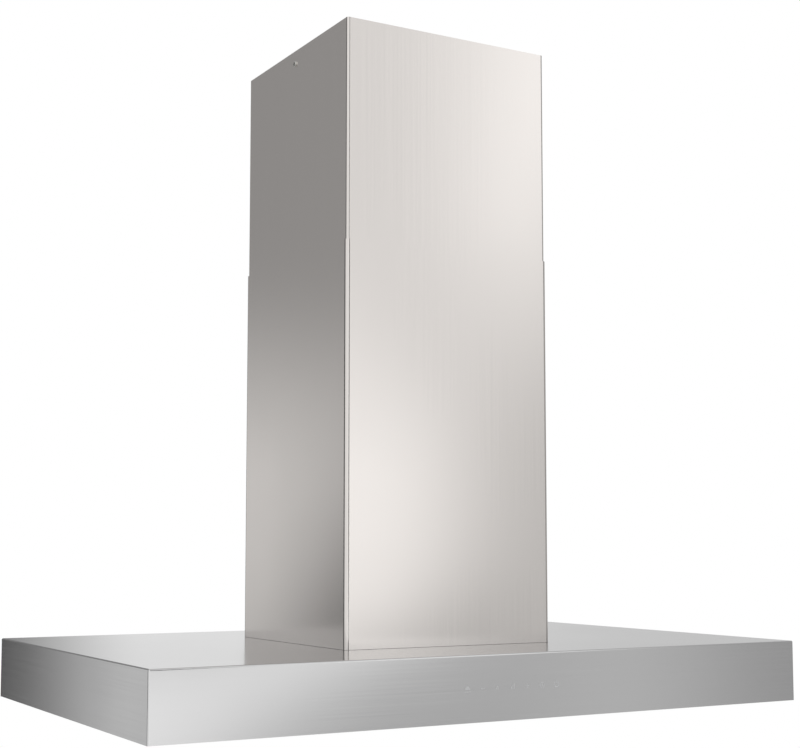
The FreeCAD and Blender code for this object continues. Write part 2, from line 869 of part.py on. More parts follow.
def make_capacitor():
    wall = blower_inner.y
    across = blower_inner.x / 2
    low = canopy_top + size.capacitor_lift
    high = low + size.capacitor_length
    foot = box("capacitor_foot", (across - size.capacitor_radius, wall - size.capacitor_foot, low),
               (across + size.capacitor_radius, wall, high))
    can = cylinder("capacitor_can", size.capacitor_radius, size.capacitor_length,
                   (across, wall - size.capacitor_radius - size.capacitor_foot / 2, low))
    node("capacitor", fuse("capacitor", [foot, can]))


# Outlet collar with its damper

def make_collar():
    body = new_body("outlet_collar", (0, 0, blower_top))
    ledge_top = size.damper_height - size.flap_sheet / 2 - size.damper_rest_gap
    ledge = spigot_bore - size.damper_ledge
    top = size.collar_sheet + size.spigot_height
    flange = size.spigot_radius + size.collar_lip
    profile = [(ledge, 0), (flange, 0), (flange, size.collar_sheet),
               (size.spigot_radius, size.collar_sheet), (size.spigot_radius, top), (spigot_bore, top),
               (spigot_bore, ledge_top), (ledge, ledge_top)]
    revolve(body, profile)
    pocket(body, circle(new_sketch(body, "YZ_Plane"), (0, size.damper_height), size.pin_radius),
           size.spigot_radius * THROUGH)
    level = blower_top + size.damper_height
    reach = size.spigot_radius - size.pin_inset
    node("damper_pin", cylinder("damper_pin", size.pin_radius, reach * 2, (-reach, 0, level), RIGHT))
    damper_flap("damper_flap_front", -1, level)
    damper_flap("damper_flap_rear", 1, level)


def revolve(body, profile):
    """A closed profile of radius and height points turned about the body's upright axis."""
    feature = body.newObject("PartDesign::Revolution", f"{body.Name}_turned")
    feature.Profile = polygon(new_sketch(body, "XZ_Plane"), profile)
    feature.ReferenceAxis = (origin_feature(body, "Z_Axis"), [""])
    feature.Angle = 360


def damper_flap(label, end, level):
    """Half a disc with a knuckle on the shared pin."""
    radius = spigot_bore - size.damper_gap
    low = level - size.flap_sheet / 2
    high = level + size.flap_sheet / 2
    edge = size.knuckle_radius + size.knuckle_gap
    disc = cylinder(f"{label}_disc", radius, size.flap_sheet, (0, 0, low))
    near, far = in_order(edge * end, radius * end)
    half = doc.addObject("Part::Common", f"{label}_half")
    half.Base = disc
    half.Tool = box(f"{label}_side", (-radius, near, low), (radius, far, high))
    start = size.knuckle_pitch * end - size.knuckle_length / 2
    near, far = in_order(as_size(0), (edge + size.flap_sheet) * end)
    web = box(f"{label}_web", (start, near, low), (start + size.knuckle_length, far, high))
    knuckle = cylinder(f"{label}_knuckle", size.knuckle_radius, size.knuckle_length, (start, 0, level), RIGHT)
    bore = cylinder(f"{label}_bore", size.pin_radius + size.pin_gap, radius * 2, (-radius, 0, level), RIGHT)
    node(label, cut(label, fuse(f"{label}_blank", [half, web, knuckle]), [bore]))


# Electrical pieces

def make_junction_box():
    side = size.junction_side
    place_inside = inside(blower_outer, size.junction_inset, side / 2)
    centre = (place_inside.x, place_inside.y)
    body = folded_box("junction_box", (side, side), size.junction_height, size.blower_bend,
                      size.junction_sheet, (*centre, blower_top), faces_up)
    entry = new_sketch(body, "XZ_Plane", side / 2)
    circle(entry, (0, size.junction_height / 2), size.cable_hole_radius)
    pocket(body, entry, size.junction_sheet * THROUGH)
    lid = new_body("junction_lid", (*centre, blower_top + size.junction_height))
    pad(lid, middle_rectangle(new_sketch(lid), side, side), size.junction_sheet)
    round_edges(lid, is_upright, size.blower_bend)


def make_controls():
    roof = canopy_top - size.canopy_sheet
    centre = canopy_half.x - size.case_inset - size.case_width / 2
    floor = roof - size.case_wall - size.case_height
    folded_box("control_case", (size.case_width, size.case_depth), size.case_height, size.case_bend,
               size.case_wall, (centre, 0, floor), faces_up)
    lid = new_body("control_lid", (centre, 0, roof - size.case_wall))
    pad(lid, middle_rectangle(new_sketch(lid), size.case_width, size.case_depth), size.case_wall)
    round_edges(lid, is_upright, size.case_bend)
    make_power_board(centre, floor + size.case_wall)
    make_touch_panel()


def make_power_board(centre, floor):
    """A board on two rails, carrying a transformer, a relay row and a terminal block."""
    half_x = size.case_width / 2 - size.case_wall - size.board_gap
    half_y = size.case_depth / 2 - size.case_wall - size.board_gap
    low = floor + size.board_gap
    top = low + size.board_sheet
    pieces = [box("board_sheet", (centre - half_x, -half_y, low), (centre + half_x, half_y, top))]
    for end in (-1, 1):
        front, rear = in_order(half_y * end, (half_y - size.board_rail) * end)
        pieces.append(box(f"board_rail_{len(pieces)}", (centre - half_x, front, floor),
                          (centre + half_x, rear, low)))
    for name in ("transformer", "relays", "terminals"):
        across, along, width, depth, height = (
            getattr(size, f"{name}_{part}") for part in ("across", "along", "width", "depth", "height"))
        pieces.append(box(name, (centre + across - width / 2, along - depth / 2, top),
                          (centre + across + width / 2, along + depth / 2, top + height)))
    node("power_board", fuse("power_board", pieces))


def make_touch_panel():
    front = -skirt_inner.y
    half_x = size.touch_width / 2
    middle = canopy_bottom + size.canopy_height / 2
    half_z = size.canopy_height / 2 - size.touch_room
    wall = size.touch_wall
    outer = box("touch_outer", (-half_x, front, middle - half_z),
                (half_x, front + size.touch_depth, middle + half_z))
    room = box("touch_hollow", (wall - half_x, front, middle - half_z + wall),
               (half_x - wall, front + size.touch_depth - wall, middle + half_z - wall))
    node("touch_housing", cut("touch_housing", outer, [room]))
    inset = wall + size.touch_gap
    node("touch_board", box("touch_board", (inset - half_x, front, middle - half_z + inset),
                            (half_x - inset, front + size.board_sheet, middle + half_z - inset)))


def make_lamps():
    """Light bars: a finned aluminium body with a rim under the liner and a diffuser set in it."""
    rim = size.lamp_flange_height
    rim_plan = (size.lamp_length + size.lamp_flange * 2, size.lamp_width + size.lamp_flange * 2)
    hollow_plan = (size.lamp_length - size.lamp_wall * 2, size.lamp_width - size.lamp_wall * 2)
    pitch = size.lamp_width / (size.fin_count * 2 + 1)
    for name, middle in lamp_places():
        body = new_body(f"lamp_housing_{name}", (0, middle, liner_under - rim))
        pad(body, middle_rectangle(new_sketch(body), *rim_plan), rim)
        block = middle_rectangle(new_sketch(body), size.lamp_length, size.lamp_width)
        pad(body, block, size.lamp_height + rim)
        hollow_below = middle_rectangle(new_sketch(body), *hollow_plan)
        pocket(body, hollow_below, size.lamp_hollow, reverse=True, both_ways=False)
        grooves = new_sketch(body, offset=size.lamp_height + rim)
        for groove in range(int(size.fin_count.value)):
            low = pitch * (groove * 2 + 1) - size.lamp_width / 2
            rectangle(grooves, -size.lamp_length / 2, size.lamp_length / 2, low, low + pitch)
        pocket(body, grooves, size.fin_depth, both_ways=False)
        half_x = hollow_plan[0] / 2 - size.lens_gap
        half_y = hollow_plan[1] / 2 - size.lens_gap
        lens = box(f"lamp_lens_{name}", (-half_x, middle - half_y, liner_under - rim),
                   (half_x, middle + half_y, liner_under - rim + size.lens_height))
        node(f"lamp_lens_{name}", lens)


# Baffle filters with their latches

def make_filter(name, side):
    left, right = filter_edges(side)
    left = left + size.filter_gap
    right = right - size.filter_gap
    front = size.filter_gap - filter_half
    rear = filter_half - size.filter_rear_gap
    make_filter_frame(name, left, right, front, rear)
    make_latch(name, (left + right) / 2, front)
    make_baffles(name, left, right, front, rear)


def make_filter_frame(name, left, right, front, rear):
    """A channel bent round the filter, with tongues that hook over the liner and ways for the latch."""
    sheet = size.filter_sheet
    rim = size.filter_rim
    gap = size.latch_gap
    top = liner_under + size.filter_height
    middle = (left + right) / 2
    outer = box(f"{name}_outer", (left, front, liner_under), (right, rear, top))
    channel = box(f"{name}_channel", (left + sheet, front + sheet, liner_under + sheet),
                  (right - sheet, rear - sheet, top - sheet))
    window = box(f"{name}_window", (left + rim, front + rim, liner_under), (right - rim, rear - rim, top))
    half = size.latch_bolt_width / 2 + gap
    mouth = box(f"{name}_mouth", (middle - half, front, filter_seat - gap),
                (middle + half, front + sheet, filter_seat + size.latch_bolt_height + gap))
    tab_front = front + sheet + gap
    tab_way = size.latch_tab_sheet + size.latch_travel + gap * 2
    tab_slot = box(f"{name}_tab_slot", (middle - half, tab_front, liner_under),
                   (middle + half, tab_front + tab_way, liner_under + sheet))
    pieces = [cut(f"{name}_channel_frame", outer, [channel, window, mouth, tab_slot])]
    for place_on_rim in (-1, 1):
        centre = middle + size.tongue_place * place_on_rim
        left_end = centre - size.tongue_width / 2
        right_end = centre + size.tongue_width / 2
        pieces.append(box(f"{name}_tongue_{len(pieces)}", (left_end, rear - sheet, filter_seat),
                          (right_end, rear + size.tongue_reach, filter_seat + sheet)))
    node(f"{name}_frame", fuse(f"{name}_frame", pieces))


def make_latch(name, middle, front):
    """A block that slides in the front channel, with a bolt over the liner and a tab below."""
    gap = size.latch_gap
    half = size.latch_bolt_width / 2
    block_half = size.latch_width / 2
    block_front = front + size.filter_sheet + gap
    block_rear = block_front + size.latch_block
    block = box(f"{name}_block", (middle - block_half, block_front, liner_under + size.filter_sheet + gap),
                (middle + block_half, block_rear, liner_under + size.filter_height / 2))
    bolt = box(f"{name}_bolt", (middle - half, front - size.filter_gap - size.latch_reach, filter_seat),
               (middle + half, block_rear, filter_seat + size.latch_bolt_height))
    tab_front = block_front + gap
    tab = box(f"{name}_tab", (middle - half, tab_front, liner_under - size.latch_tab),
              (middle + half, tab_front + size.latch_tab_sheet, filter_seat))
    node(f"{name}_latch", fuse(f"{name}_latch", [block, bolt, tab]))


def make_baffles(name, left, right, front, rear):
    """Two rows of channels that face each other, each closing the gaps of the other."""
    pitch = (right - left - size.filter_rim * 2) / size.baffle_count
    length = rear - front - (size.filter_rim - size.baffle_hold) * 2
    middle = (front + rear) / 2
    start = left + size.filter_rim
    floor = liner_under + size.filter_sheet
    roof = liner_under + size.filter_height - size.filter_sheet
    count = size.baffle_count
    # the end channels of the upper row stand inside the frame, and the lower row laps the upper one
    upper_half = size.filter_rim - size.filter_sheet - size.baffle_gap
    lower_half = pitch / 2 + size.baffle_lap - upper_half
    lower_at = (start + pitch / 2, middle, floor)
    upper_at = (start, middle, roof)
    baffle_row(f"{name}_lower_baffles", lower_at, 1, lower_half, length, pitch, count)
    baffle_row(f"{name}_upper_baffles", upper_at, -1, upper_half, length, pitch, count + 1)


def baffle_row(label, at, upward, half, length, pitch, count):
    body = new_body(label, at)
    sheet = size.baffle_sheet
    height = size.baffle_height * upward
    base = sheet * upward
    profile = [(-half, 0), (half, 0), (half, height), (half - sheet, height), (half - sheet, base),
               (sheet - half, base), (sheet - half, height), (-half, height)]
    baffle = pad(body, polygon(new_sketch(body, "XZ_Plane"), profile), length, both_ways=True)
    repeat_along_x(body, baffle, pitch * (count - 1), count)


make_ceiling_plate()
make_flue()
make_frame()
make_canopy()
make_liner()
make_blower_box()
scroll_half("scroll_left", True)
scroll_half("scroll_right", False)
make_wheel()
make_motor()
make_capacitor()
make_collar()
make_junction_box()
make_controls()
make_lamps()
make_filter("filter_left", -1)
make_filter("filter_right", 1)


def export_all():
    doc.recompute()
    failed = [item.Label for item in doc.Objects if {"Invalid", "Error"} & set(item.State)]
    if failed:
        raise RuntimeError(f"not built: {failed}")
    for feature in pockets:
        if feature.Shape.Volume > feature.BaseFeature.Shape.Volume - NEAR:
            raise RuntimeError(f"{feature.Label} cuts nothing")
    for label, item in nodes.items():
        if item.Shape.isNull() or not item.Shape.isValid():
            raise RuntimeError(f"{label} has no valid shape")
    os.makedirs("parts", exist_ok=True)
    for label, item in nodes.items():
        item.Shape.exportStep(f"parts/{label}.step")
    print(len(nodes), "nodes written")


export_all()
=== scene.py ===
import json
import math

import bpy
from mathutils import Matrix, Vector


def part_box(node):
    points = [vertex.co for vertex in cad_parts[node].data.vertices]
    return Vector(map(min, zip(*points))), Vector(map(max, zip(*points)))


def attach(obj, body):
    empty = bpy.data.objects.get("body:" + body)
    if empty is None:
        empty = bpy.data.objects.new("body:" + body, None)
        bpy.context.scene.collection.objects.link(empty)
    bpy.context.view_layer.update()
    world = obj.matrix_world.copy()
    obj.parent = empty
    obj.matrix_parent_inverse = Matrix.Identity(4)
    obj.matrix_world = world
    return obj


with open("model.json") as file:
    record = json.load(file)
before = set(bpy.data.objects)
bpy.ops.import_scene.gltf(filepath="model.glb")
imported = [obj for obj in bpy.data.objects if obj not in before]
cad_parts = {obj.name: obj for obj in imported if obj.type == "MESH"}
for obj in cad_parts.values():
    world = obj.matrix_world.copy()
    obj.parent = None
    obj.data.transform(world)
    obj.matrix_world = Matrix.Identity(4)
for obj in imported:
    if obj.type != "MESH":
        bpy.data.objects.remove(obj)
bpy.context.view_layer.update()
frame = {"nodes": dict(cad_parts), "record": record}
nodes = frame["nodes"]
scene = bpy.context.scene
scene.view_settings.view_transform = "Standard"
print("frame loaded:", len(nodes), "nodes")

# camera: fitted to the canopy and flue edges of an 800 x 748 picture
cameraSet = {
    "place": (-0.979, -1.7268, -0.661),
    "yaw": 29.854,            # degrees from +Y towards +X
    "pitch": 5.0,             # degrees upwards
    "focal": 1459.1,          # in picture pixels
    "pictureWidth": 800,
    "sensor": 36,             # in millimetres
    "shift": 0.0539,
}


def makeCamera(s):
    turn = (math.radians(90 + s["pitch"]), 0, -math.radians(s["yaw"]))
    bpy.ops.object.camera_add(location=s["place"], rotation=turn)
    camera = bpy.context.object
    camera.name = "photoCamera"
    camera.data.sensor_width = s["sensor"]
    camera.data.lens = s["sensor"] * s["focal"] / s["pictureWidth"]
    camera.data.shift_y = s["shift"]
    scene.camera = camera


makeCamera(cameraSet)
print("camera set")


# node helpers: a number or a socket may stand for any input
def feed(tree, value, socket):
    if isinstance(value, bpy.types.NodeSocket):
        tree.links.new(value, socket)
    else:
        socket.default_value = value


def calc(tree, operation, first, second=0.0):
    node = tree.nodes.new("ShaderNodeMath")
    node.operation = operation
    feed(tree, first, node.inputs[0])
    feed(tree, second, node.inputs[1])
    return node.outputs[0]


def apart(tree, first, second):
    return calc(tree, "ABSOLUTE", calc(tree, "SUBTRACT", first, second))


def fade(tree, value, start, end, low=0.0, high=1.0):
    # a soft step from low to high, while the value goes from start to end
    node = tree.nodes.new("ShaderNodeMapRange")
    node.interpolation_type = "SMOOTHSTEP"
    feed(tree, value, node.inputs["Value"])
    for name, amount in (("From Min", start), ("From Max", end), ("To Min", low), ("To Max", high)):
        feed(tree, amount, node.inputs[name])
    return node.outputs["Result"]


def blendValue(tree, mask, first, second):
    node = tree.nodes.new("ShaderNodeMix")
    feed(tree, mask, node.inputs["Factor"])
    feed(tree, first, node.inputs[2])      # the node's two plain numbers
    feed(tree, second, node.inputs[3])
    return node.outputs[0]


def blendColour(tree, mask, first, second):
    node = tree.nodes.new("ShaderNodeMix")
    node.data_type = "RGBA"
    feed(tree, mask, node.inputs["Factor"])
    feed(tree, first, node.inputs[6])      # the node's two colours
    feed(tree, second, node.inputs[7])
    return node.outputs[2]


def noise(tree, vector, scale, detail, rough=0.5):
    node = tree.nodes.new("ShaderNodeTexNoise")
    feed(tree, vector, node.inputs["Vector"])
    feed(tree, scale, node.inputs["Scale"])
    node.inputs["Detail"].default_value = detail
    node.inputs["Roughness"].default_value = rough
    return node.outputs["Fac"]


def split(tree, vector):
    node = tree.nodes.new("ShaderNodeSeparateXYZ")
    tree.links.new(vector, node.inputs[0])
    return node.outputs


def seenDirectly(tree):
    # camera, glossy and see-through rays see the white studio itself
    path = tree.nodes.new("ShaderNodeLightPath")
    total = calc(tree, "ADD", path.outputs["Is Camera Ray"], path.outputs["Is Glossy Ray"])
    total = calc(tree, "ADD", total, path.outputs["Is Transmission Ray"])
    return calc(tree, "MINIMUM", total, 1.0)


# studio: white world, three soft lamps, a pale floor and a graded reflection tent
worldSet = {"level": 0.62, "white": (1.0, 1.0, 1.0, 1.0)}      # level is the light it gives


def makeWorld(s):
    world = bpy.data.worlds.new("studioWorld")
    world.use_nodes = True
    tree = world.node_tree
    tree.nodes.clear()
    seen = tree.nodes.new("ShaderNodeBackground")
    seen.inputs["Color"].default_value = s["white"]
    lighting = tree.nodes.new("ShaderNodeBackground")
    lighting.inputs["Color"].default_value = s["white"]
    lighting.inputs["Strength"].default_value = s["level"]
    mix = tree.nodes.new("ShaderNodeMixShader")
    feed(tree, seenDirectly(tree), mix.inputs[0])
    tree.links.new(lighting.outputs[0], mix.inputs[1])
    tree.links.new(seen.outputs[0], mix.inputs[2])
    output = tree.nodes.new("ShaderNodeOutputWorld")
    tree.links.new(mix.outputs[0], output.inputs["Surface"])
    scene.world = world


lampSet = {
    "aim": (0, 0, -0.5),
    "lamps": {
        "keyLamp": {"place": (-1.6, -2.4, 1.3), "size": 1.8, "power": 34},
        "fillLamp": {"place": (2.3, -1.7, 0.3), "size": 1.8, "power": 16},
        "topLamp": {"place": (0.2, 0.5, 2.3), "size": 2.0, "power": 22},
    },
}


def makeLamps(s):
    for name, lamp in s["lamps"].items():
        bpy.ops.object.light_add(type="AREA", location=lamp["place"])
        item = bpy.context.object
        item.name = name
        item.data.size = lamp["size"]
        item.data.energy = lamp["power"]
        aim = Vector(s["aim"]) - Vector(lamp["place"])
        item.rotation_euler = aim.to_track_quat("-Z", "Y").to_euler()
        item.visible_glossy = False      # the tent is what shows in the metal


floorSet = {
    "level": -1.67,
    "radius": 2.2,
    "sides": 96,
    "colour": (0.9, 0.9, 0.9, 1),
    "fade": (0.8, 1.9),      # from the middle, where the paint turns into plain white
}


def makeFloor(s):
    bpy.ops.mesh.primitive_circle_add(vertices=s["sides"], radius=s["radius"], fill_type="NGON",
                                      location=(0, 0, s["level"]))
    floor = bpy.context.object
    floor.name = "studioFloor"
    finish = bpy.data.materials.new("studioFloorPaint")
    finish.use_nodes = True
    tree = finish.node_tree
    tree.nodes.clear()
    coords = tree.nodes.new("ShaderNodeTexCoord")
    reach = tree.nodes.new("ShaderNodeVectorMath")
    reach.operation = "LENGTH"
    tree.links.new(coords.outputs["Object"], reach.inputs[0])
    away = fade(tree, reach.outputs["Value"], *s["fade"])
    paint = tree.nodes.new("ShaderNodeBsdfDiffuse")
    paint.inputs["Color"].default_value = s["colour"]
    glow = tree.nodes.new("ShaderNodeEmission")
    mix = tree.nodes.new("ShaderNodeMixShader")
    feed(tree, calc(tree, "MULTIPLY", away, seenDirectly(tree)), mix.inputs[0])
    tree.links.new(paint.outputs[0], mix.inputs[1])
    tree.links.new(glow.outputs[0], mix.inputs[2])
    clear = tree.nodes.new("ShaderNodeBsdfTransparent")      # from below the floor is clear
    side = tree.nodes.new("ShaderNodeNewGeometry")
    oneWay = tree.nodes.new("ShaderNodeMixShader")
    tree.links.new(side.outputs["Backfacing"], oneWay.inputs[0])
    tree.links.new(mix.outputs[0], oneWay.inputs[1])
    tree.links.new(clear.outputs[0], oneWay.inputs[2])
    output = tree.nodes.new("ShaderNodeOutputMaterial")
    tree.links.new(oneWay.outputs[0], output.inputs["Surface"])
    floor.data.materials.append(finish)
    floor.visible_glossy = False      # the tent is what shows in the metal


# angles in degrees: turn is 0 at the front (-Y) and grows to the right, rise is above the horizon
# a pair is the start and end of a soft step
tentSet = {
    "radius": 8.0,
    "segments": 48,
    "rings": 24,
    "middle": (0, 0, -0.43),
    "base": 0.68,
    "sweep": {"turn": -45, "amount": 0.17},      # brighter towards the front left, darker opposite
    "dome": {"level": 0.68, "sweep": 0.24, "edge": (22, 55)},
    "ground": {"level": 0.6, "deep": 0.3, "edge": (-11.5, -18), "fall": (-16, -76)},
    # leaning light edge for the flue's and canopy's fronts, bent over below bendAt
    "frontStrip": {
        "turn": 33.5, "lean": 0.44, "bendAt": -3.0, "bend": 1.03, "sharpen": 0.08,
        "edge": (4.8, -6.5), "dark": 0.46, "light": 1.08, "from": (-35, 0), "to": (75, 115),
    },
    # dimmer stripe across it, leaning the other way
    "frontDim": {
        "turn": 33.6, "lean": 0.43, "leanTo": 14.0, "edge": (8, 0), "from": (-4, 10), "amount": 0.32,
    },
    # light spot at the horizon, lighter upright band, darker right end
    "frontGlow": {"turn": 27.5, "edge": (5, 0), "from": (9, 1), "to": (-9, -5), "amount": 0.13},
    "frontBand": {"turn": 38.0, "edge": (6, 0), "amount": 0.12},
    "frontEnd": {"edge": (40, 48), "amount": 0.12},
    # card for the flue's left side, its turns counted from straight behind
    "leftCard": {
        "edge": (17.0, 23.7), "dark": 0.02, "light": 0.89, "slope": (22.5, 29), "sink": 0.29,
        "fallTurn": 25.0, "fallRise": -3.0, "fallFloor": -6.0, "lean": 0.75, "fall": (0.3, 7.5),
        "drop": 0.5, "high": 0.335, "highEdge": (1.0, 12.5), "from": (0, 1), "to": (45, 80),
    },
    # dark flags that draw the flue's bent corner
    "cornerFlags": {
        "left": {"turn": -122.0, "edge": (24, 16), "level": 0.1, "from": (-8.5, -8)},
        "front": {"turn": 10.0, "edge": (12, 9), "level": 0.18, "from": (-6.6, -5.4)},
    },
    # wall for the canopy's top
    "backWall": {
        "right": 0.72, "left": 0.96, "edge": (136, 158), "gap": 0.2, "gapEdge": (162, 171),
        "from": (95, 125),
    },
}


def tentAngles(tree):
    coords = tree.nodes.new("ShaderNodeTexCoord")
    unit = tree.nodes.new("ShaderNodeVectorMath")
    unit.operation = "NORMALIZE"
    tree.links.new(coords.outputs["Object"], unit.inputs[0])
    x, y, z = split(tree, unit.outputs[0])
    turn = calc(tree, "DEGREES", calc(tree, "ARCTAN2", x, calc(tree, "MULTIPLY", y, -1.0)))
    rise = calc(tree, "DEGREES", calc(tree, "ARCSINE", z))
    return turn, rise


# each card gives its level and the mask of where it hangs
def frontCards(tree, s, turn, rise):
    strip = s["frontStrip"]
    edgeTurn = calc(tree, "ADD", calc(tree, "MULTIPLY", rise, strip["lean"]), strip["turn"])
    below = calc(tree, "MAXIMUM", calc(tree, "SUBTRACT", strip["bendAt"], rise), 0.0)
    edgeTurn = calc(tree, "SUBTRACT", edgeTurn, calc(tree, "MULTIPLY", below, strip["bend"]))
    sharpness = calc(tree, "ADD", calc(tree, "MULTIPLY", below, strip["sharpen"]), 1.0)
    pastEdge = calc(tree, "MULTIPLY", calc(tree, "SUBTRACT", turn, edgeTurn), sharpness)
    level = fade(tree, pastEdge, *strip["edge"], strip["dark"], strip["light"])

    dim = s["frontDim"]
    leaning = calc(tree, "MULTIPLY", calc(tree, "MINIMUM", rise, dim["leanTo"]), dim["lean"])
    fromDim = apart(tree, turn, calc(tree, "SUBTRACT", dim["turn"], leaning))
    dimming = fade(tree, rise, *dim["from"], 0.0, dim["amount"])
    dimming = calc(tree, "MULTIPLY", fade(tree, fromDim, *dim["edge"]), dimming)
    level = calc(tree, "SUBTRACT", level, dimming)

    shine = s["frontGlow"]
    shining = calc(tree, "MULTIPLY", fade(tree, rise, *shine["from"]), fade(tree, rise, *shine["to"]))
    fromShine = apart(tree, turn, shine["turn"])
    beside = fade(tree, fromShine, *shine["edge"], 0.0, shine["amount"])
    level = calc(tree, "ADD", level, calc(tree, "MULTIPLY", shining, beside))

    band = s["frontBand"]
    fromBand = apart(tree, turn, band["turn"])
    level = calc(tree, "ADD", level, fade(tree, fromBand, *band["edge"], 0.0, band["amount"]))
    end = s["frontEnd"]
    level = calc(tree, "SUBTRACT", level, fade(tree, turn, *end["edge"], 0.0, end["amount"]))
    starting = fade(tree, turn, *strip["from"])
    ending = fade(tree, turn, *strip["to"], 1.0, 0.0)
    return level, calc(tree, "MULTIPLY", starting, ending)


def leftCard(tree, s, turn, rise):
    card = s["leftCard"]
    behind = calc(tree, "ADD", turn, 180.0)      # 0 straight behind, growing to the left
    lit = fade(tree, behind, *card["edge"], card["dark"], card["light"])
    lit = calc(tree, "SUBTRACT", lit, fade(tree, behind, *card["slope"], 0.0, card["sink"]))
    held = calc(tree, "SUBTRACT", calc(tree, "MAXIMUM", rise, card["fallFloor"]), card["fallRise"])
    past = calc(tree, "SUBTRACT", behind, card["fallTurn"])
    past = calc(tree, "SUBTRACT", past, calc(tree, "MULTIPLY", held, card["lean"]))
    low = calc(tree, "SUBTRACT", lit, fade(tree, past, *card["fall"], 0.0, card["drop"]))
    level = blendValue(tree, fade(tree, rise, *card["highEdge"]), low, card["high"])
    starting = fade(tree, behind, *card["from"])
    ending = fade(tree, behind, *card["to"], 1.0, 0.0)
    return level, calc(tree, "MULTIPLY", starting, ending)


def backWall(tree, s, turn):
    wall = s["backWall"]
    level = fade(tree, turn, *wall["edge"], wall["right"], wall["left"])
    level = blendValue(tree, fade(tree, turn, *wall["gapEdge"]), level, wall["gap"])
    return level, fade(tree, turn, *wall["from"])


def tentLevel(tree, s):
    turn, rise = tentAngles(tree)
    sweep = s["sweep"]
    facing = calc(tree, "COSINE", calc(tree, "RADIANS", calc(tree, "SUBTRACT", turn, sweep["turn"])))
    level = calc(tree, "ADD", s["base"], calc(tree, "MULTIPLY", facing, sweep["amount"]))
    cards = [backWall(tree, s, turn), frontCards(tree, s, turn, rise), leftCard(tree, s, turn, rise)]
    for cardLevel, mask in cards:
        level = blendValue(tree, mask, level, cardLevel)
    for flag in s["cornerFlags"].values():
        beside = fade(tree, apart(tree, turn, flag["turn"]), *flag["edge"])
        mask = calc(tree, "MULTIPLY", beside, fade(tree, rise, *flag["from"]))
        level = blendValue(tree, mask, level, flag["level"])
    dome = s["dome"]
    domeLevel = calc(tree, "ADD", dome["level"], calc(tree, "MULTIPLY", facing, dome["sweep"]))
    level = blendValue(tree, fade(tree, rise, *dome["edge"]), level, domeLevel)
    ground = s["ground"]
    groundLevel = fade(tree, rise, *ground["fall"], ground["level"], ground["deep"])
    return blendValue(tree, fade(tree, rise, *ground["edge"]), level, groundLevel)


def makeTent(s):
    bpy.ops.mesh.primitive_uv_sphere_add(segments=s["segments"], ring_count=s["rings"],
                                         radius=s["radius"], location=s["middle"])
    tent = bpy.context.object
    tent.name = "reflectionTent"
    finish = bpy.data.materials.new("tentCloth")
    finish.use_nodes = True
    finish.cycles.emission_sampling = "NONE"
    tree = finish.node_tree
    tree.nodes.clear()
    glow = tree.nodes.new("ShaderNodeEmission")
    tree.links.new(tentLevel(tree, s), glow.inputs["Strength"])
    output = tree.nodes.new("ShaderNodeOutputMaterial")
    tree.links.new(glow.outputs[0], output.inputs["Surface"])
    tent.data.materials.append(finish)
    for ray in ("camera", "diffuse", "transmission", "volume_scatter", "shadow"):
        setattr(tent, "visible_" + ray, False)


makeWorld(worldSet)
makeLamps(lampSet)
makeFloor(floorSet)
makeTent(tentSet)
print("studio set")


# shared surface effects
def newGroup(name, numbers, results):
    tree = bpy.data.node_groups.new(name, "ShaderNodeTree")
    tree.interface.new_socket(name="Vector", in_out="INPUT", socket_type="NodeSocketVector")
    for label in numbers:
        tree.interface.new_socket(name=label, in_out="INPUT", socket_type="NodeSocketFloat")
    for label in results:
        tree.interface.new_socket(name=label, in_out="OUTPUT", socket_type="NodeSocketFloat")
    return tree, tree.nodes.new("NodeGroupInput"), tree.nodes.new("NodeGroupOutput")


grainSet = {
    "level": (0.6, 0.8),      # upward share of the normal, from upright to level faces
    "streakDetail": 3.0,
    "streakRough": 0.65,
    "cloudScale": 5.0,
    "cloudDetail": 2.0,
}


def makeBrushedGrain(s):
    # streaks run level round the sheet, or upright where Upright is 1
    tree, given, result = newGroup("brushedGrain", ["Fine", "Long", "Upright"], ["Streak", "Cloud"])
    vector = given.outputs["Vector"]
    fine = given.outputs["Fine"]
    longWay = given.outputs["Long"]
    upright = given.outputs["Upright"]
    shape = tree.nodes.new("ShaderNodeNewGeometry")
    facing = split(tree, shape.outputs["Normal"])
    flat = fade(tree, calc(tree, "ABSOLUTE", facing["Z"]), *s["level"])
    acrossX = blendValue(tree, upright, longWay, fine)
    acrossY = blendValue(tree, calc(tree, "MAXIMUM", flat, upright), longWay, fine)
    acrossZ = blendValue(tree, upright, fine, longWay)
    scaleXyz = tree.nodes.new("ShaderNodeCombineXYZ")
    for value, socket in zip((acrossX, acrossY, acrossZ), scaleXyz.inputs):
        tree.links.new(value, socket)
    stretched = tree.nodes.new("ShaderNodeVectorMath")
    stretched.operation = "MULTIPLY"
    tree.links.new(vector, stretched.inputs[0])
    tree.links.new(scaleXyz.outputs[0], stretched.inputs[1])
    streak = noise(tree, stretched.outputs[0], 1.0, s["streakDetail"], s["streakRough"])
    tree.links.new(streak, result.inputs["Streak"])
    cloud = noise(tree, vector, s["cloudScale"], s["cloudDetail"])
    tree.links.new(cloud, result.inputs["Cloud"])
    return tree


bloomSet = {"cloudScale": 14.0, "cloudDetail": 3.0}


